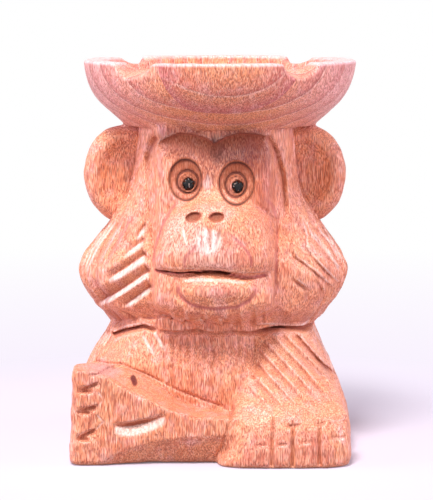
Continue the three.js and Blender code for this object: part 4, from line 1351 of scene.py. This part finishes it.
# Painted shade and painted highlights as soft spots, with one worn patch
PAINTED_SHADE_AND_HIGHLIGHT_SPOTS = [
    # Painted shade beside the right eye and low on the hair
    spot(head_form, (266, 190), (4.6, 9.0, 10.0), 0.55, (186, 86, 58)),
    spot(head_form, (114, 320), (10.0, 12.0, 3.6), 0.5, (164, 80, 62)),
    spot(head_form, (300, 319), (9.0, 12.0, 3.0), 0.3, (164, 80, 66)),
    # Worn top of the left foot, with a painted lavender sheen
    spot(body_form, (106, 369), (9.0, 8.0, 2.6), 0.5, (232, 200, 204)),
    # Painted highlight on the bridge of the nose
    spot(head_form, (207.5, 183), (1.9, 3.0, 2.6), 0.4, (252, 222, 222)),
    # Painted highlights on the upper lip and the muzzle
    spot(head_form, (208, 243), (4.8, 5.0, 4.8), 0.6, (255, 240, 236)),
    spot(head_form, (182, 234), (8.0, 8.0, 9.0), 0.36, (255, 224, 208)),
    spot(head_form, (210, 262), (9.0, 5.0, 4.0), 0.35, (255, 214, 194)),
]


SPOT_CORE = 0.55


def spotted(n, place, colour, spots, streaks=1.0):
    for middle, radii, share, tint in spots:
        away = n.length(n.vector("DIVIDE", n.vector("SUBTRACT", place, middle), radii))
        marked = n.math("MULTIPLY", n.range(away, SPOT_CORE, 1.0, share, 0.0), streaks)
        colour = n.mix(marked, colour, tint)
    return colour


def in_millimetres(n):
    return n.vector("MULTIPLY", n.place(), (1 / MM, 1 / MM, 1 / MM))


def growth_rings(n, place, drift):
    """Shares across the growth rings, and the dark share of the broad one."""
    x, y, z = n.add("ShaderNodeSeparateXYZ", {0: place}).outputs
    wander = n.math("SUBTRACT", drift, 0.5)
    tilt = n.math("MULTIPLY", n.math("SUBTRACT", RING_TILT_FROM, z), RING_TILT)
    radius = n.length(n.vector("MULTIPLY", n.vector("SUBTRACT", place, PITH), (1, 1, 0)))
    radius = n.math("ADD", radius, n.math("MULTIPLY", wander, RING_WANDER))
    radius = n.math("SUBTRACT", radius, tilt)
    ring = n.math("FRACT", n.math("DIVIDE", n.math("SUBTRACT", radius, RING_AT), RING_SPACING))
    ahead = n.math("SUBTRACT", wander, n.math("ADD", y, MAIN_RING_AT))
    ahead = n.math("SUBTRACT", ahead, n.range(x, *MAIN_RING_BEND))
    ahead = n.math("SUBTRACT", ahead, tilt)
    main_ring = n.math("MULTIPLY", n.math("GREATER_THAN", ahead, 0.0), n.range(ahead, *MAIN_RING_FADE))
    return ring, main_ring


def wood_material():
    material, n, shader = new_material("carved_wood")
    place = in_millimetres(n)
    x, _, z = n.add("ShaderNodeSeparateXYZ", {0: place}).outputs
    sources = {name: n.noise(place, *values) for name, values in NOISES.items()}
    for name in ("relief", "cut", "pale", "mauve", "oval"):
        sources[name] = n.attribute(name)
    sources["ring"], sources["main_ring"] = growth_rings(n, place, sources["drift"])
    sources["height"] = z
    sources["on_dish"] = n.range(z, *DISH_FADE)
    sources["aside"] = n.math("ABSOLUTE", n.math("SUBTRACT", x, DISH_X))
    colour = n.layers(sources, linear(*WOOD), UNDER_GRAIN)
    colour = spotted(n, place, colour, PAINTED_SHADE_AND_HIGHLIGHT_SPOTS)
    colour = n.layers(sources, colour, GRAIN)
    colour = spotted(n, place, colour, HEARTWOOD_AND_DISH_SHADOW, n.range(sources["pores"], *HEART_STREAKS))
    colour = spotted(n, place, colour, KNOTS)
    colour = n.layers(sources, colour, OVER_GRAIN)
    n.feed(shader.inputs["Base Color"], colour)
    fibre_roughness = n.range(sources["fibre"], *FIBRE_ROUGHNESS)
    roughness = n.math("MAXIMUM", fibre_roughness, n.range(sources["cut"], *CUT_ROUGHNESS))
    n.feed(shader.inputs["Roughness"], roughness)
    fibres = n.math("MULTIPLY", sources["fibre"], FIBRE_HEIGHT)
    height = n.math("SUBTRACT", fibres, n.range(sources["pores"], *PORE))
    bump = n.add("ShaderNodeBump", {**GRAIN_RELIEF, "Height": height})
    n.feed(shader.inputs["Normal"], bump.outputs[0])
    return material


PUPIL_BLACK = (8, 7, 8)
PUPIL_NOISES = {"flecks": (1.0, 2.5, 2.0, 0.5), "torn": (0.5, 1.7, 2.0, 0.5)}
PUPIL_TINTS = [
    ([("flecks", 0.5, 0.7)], (34, 31, 36)),
    ([("torn", 0.6, 0.66, 0.0, 0.7)], (196, 170, 160)),
]
PUPIL_ROUGHNESS = 0.5
PUPIL_SPECULAR = 0.25


def pupil_material():
    material, n, shader = new_material("black_pupil")
    place = in_millimetres(n)
    sources = {name: n.noise(place, *values) for name, values in PUPIL_NOISES.items()}
    n.feed(shader.inputs["Base Color"], n.layers(sources, linear(*PUPIL_BLACK), PUPIL_TINTS))
    n.feed(shader.inputs["Roughness"], PUPIL_ROUGHNESS)
    n.feed(shader.inputs["Specular IOR Level"], PUPIL_SPECULAR)
    return material


wood = wood_material()
black = pupil_material()

wooden_nodes = sorted(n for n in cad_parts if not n.startswith("pupil"))
for node in wooden_nodes:
    points, quads, marks = carved_mesh(node)
    piece = add_mesh("carved_" + node, points, quads.tolist())
    for name, values in marks.items():
        attribute = piece.data.attributes.new(name, "FLOAT", "POINT")
        attribute.data.foreach_set("value", values.astype(np.float32))
    piece.data.materials.append(wood)
    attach(piece, "root")
    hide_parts(node)

# Pupils: ragged plugs with a low dome
PUPIL_SIDES = 48
PUPIL_LENGTH = 3.0
PUPIL_SINK = 0.55
PUPIL_TIP = 0.02
PUPIL_WAVES = (2, 3, 5, 7, 10)
PUPIL_RAGGED = 0.11
# Shares of the radius and depths behind the tip
PUPIL_RINGS = [(1.0, PUPIL_LENGTH), (1.0, 0.45), (0.96, 0.2), (0.8, 0.06), (0.45, 0.0)]


def pupil_mesh(node, oval):
    (column, row), half_width, half_height, _ = oval
    low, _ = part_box(node)
    (cx, _, cz), = on_surface(head_form, [(column, row)])
    middle = np.array([cx, low.y / MM - FRAME_SHIFT[1] + PUPIL_SINK, cz])
    turn = np.linspace(0, 2 * math.pi, PUPIL_SIDES, endpoint=False)
    ragged = 1 + sum(
        PUPIL_RAGGED * random.uniform(0.5, 1.4) * np.cos(k * turn + random.uniform(0, 6)) for k in PUPIL_WAVES
    )
    across = ragged * np.cos(turn) * half_width / PIXELS_PER_MM
    up = ragged * np.sin(turn) * half_height / PIXELS_PER_MM
    points = [middle + (0, PUPIL_LENGTH, 0)]
    for share, depth in PUPIL_RINGS:
        points.extend(middle + np.stack([share * across, np.full(PUPIL_SIDES, depth), share * up], 1))
    points.append(middle - (0, PUPIL_TIP, 0))
    last = 1 + (len(PUPIL_RINGS) - 1) * PUPIL_SIDES
    faces = []
    for i in range(PUPIL_SIDES):
        j = (i + 1) % PUPIL_SIDES
        faces.append((1 + j, 1 + i, 0))
        for start in range(1, last, PUPIL_SIDES):
            after = start + PUPIL_SIDES
            faces.append((start + j, after + j, after + i, start + i))
        faces.append((len(points) - 1, last + i, last + j))
    return add_mesh("inlaid_" + node, np.array(points), faces)


for side in ("left", "right"):
    piece = pupil_mesh("pupil_" + side, EYES[side]["pupil"])
    piece.data.materials.append(black)
    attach(piece, "root")
    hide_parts("pupil_" + side)

# Camera
camera_data = bpy.data.cameras.new("camera")
camera_data.lens = CAMERA_LENS
camera_data.sensor_width = SENSOR
camera_data.clip_start = 0.01
camera = add_object("camera", camera_data)
camera.location = (np.array([CAMERA_X, CAMERA_Y, CAMERA_Z]) + FRAME_SHIFT) * MM
camera.rotation_euler = (math.pi / 2 - CAMERA_PITCH, 0, 0)
bpy.context.scene.camera = camera

# Stage: a pale floor that shows white to the camera but keeps its shadow, in metres
FLOOR_HALF = 60.0
FLOOR_ROUGHNESS = 0.9
FLOOR_WHITE = 0.12
CONTACT_NEAR = 0.05
CONTACT_FAR = 0.16
FLOOR_NEAR = 0.12
FLOOR_FAR = 0.5
FLOOR_BOUNCE = (0.32, 0.27, 0.29, 1)
FLOOR_NEAR_COLOUR = linear(249, 241, 254)
FLOOR_FAR_COLOUR = (1, 1, 1, 1)
FLOOR_SHADE = (0.64, 0.59, 0.68, 1)
floor_mesh = bpy.data.meshes.new("floor")
corners = [(FLOOR_HALF * x, FLOOR_HALF * y, 0) for x, y in ((-1, -1), (1, -1), (1, 1), (-1, 1))]
floor_mesh.from_pydata(corners, [], [(0, 1, 2, 3)])
floor = add_object("floor", floor_mesh)
floor_material, n, shader = new_material("floor")
seen = n.shown_ray()
n.feed(shader.inputs["Base Color"], n.mix(seen, FLOOR_BOUNCE, FLOOR_SHADE))
n.feed(shader.inputs["Roughness"], FLOOR_ROUGHNESS)
away = n.length(n.place())
paler = n.mix(n.range(away, FLOOR_NEAR, FLOOR_FAR), FLOOR_NEAR_COLOUR, FLOOR_FAR_COLOUR)
glow = n.add("ShaderNodeEmission", {"Color": paler, "Strength": 1.0})
whiter = n.math("MULTIPLY", seen, n.range(away, CONTACT_NEAR, CONTACT_FAR, FLOOR_WHITE, 1.0))
shown = n.add("ShaderNodeMixShader", {0: whiter, 1: shader.outputs[0], 2: glow.outputs[0]})
n.feed(floor_material.node_tree.nodes["Material Output"].inputs["Surface"], shown.outputs[0])
floor_mesh.materials.append(floor_material)

# Soft light from all round, which looks white to the camera
WORLD_COLOUR = (1, 0.86, 0.82, 1)
WORLD_STRENGTH = 0.3
world = bpy.data.worlds.new("studio")
bpy.context.scene.world = world
world.use_nodes = True
n = Nodes(world.node_tree)
light = world.node_tree.nodes["Background"]
light.inputs["Color"].default_value = WORLD_COLOUR
light.inputs["Strength"].default_value = WORLD_STRENGTH
white = n.add("ShaderNodeBackground", {"Color": (1, 1, 1, 1), "Strength": 1.0})
shown = n.add("ShaderNodeMixShader", {0: n.shown_ray(), 1: light.outputs[0], 2: white.outputs[0]})
n.feed(world.node_tree.nodes["World Output"].inputs["Surface"], shown.outputs[0])

# Square lamps: name, place and aim in metres, side, power and colour
LAMPS = [
    ("key", (-0.257, -0.705, 1.36), (0, 0, 0.06), 0.42, 30.0, (1, 1, 1)),
    ("fill", (0.0, -1.0, 0.2), (0, 0, 0.08), 0.6, 2.6, (1.0, 0.94, 0.98)),
    ("side", (-0.85, -0.1, 0.3), (0, 0, 0.09), 0.6, 6.0, (0.86, 0.76, 1.0)),
    ("side", (0.85, -0.1, 0.3), (0, 0, 0.09), 0.6, 6.0, (0.86, 0.76, 1.0)),
]
for name, place, aim, size, power, colour in LAMPS:
    data = bpy.data.lights.new(name, "AREA")
    data.color = colour
    data.energy = power
    data.size = size
    lamp = add_object(name, data)
    lamp.location = place
    lamp.rotation_euler = (Vector(aim) - Vector(place)).to_track_quat("-Z", "Y").to_euler()
bpy.context.scene.view_settings.view_transform = "Standard"
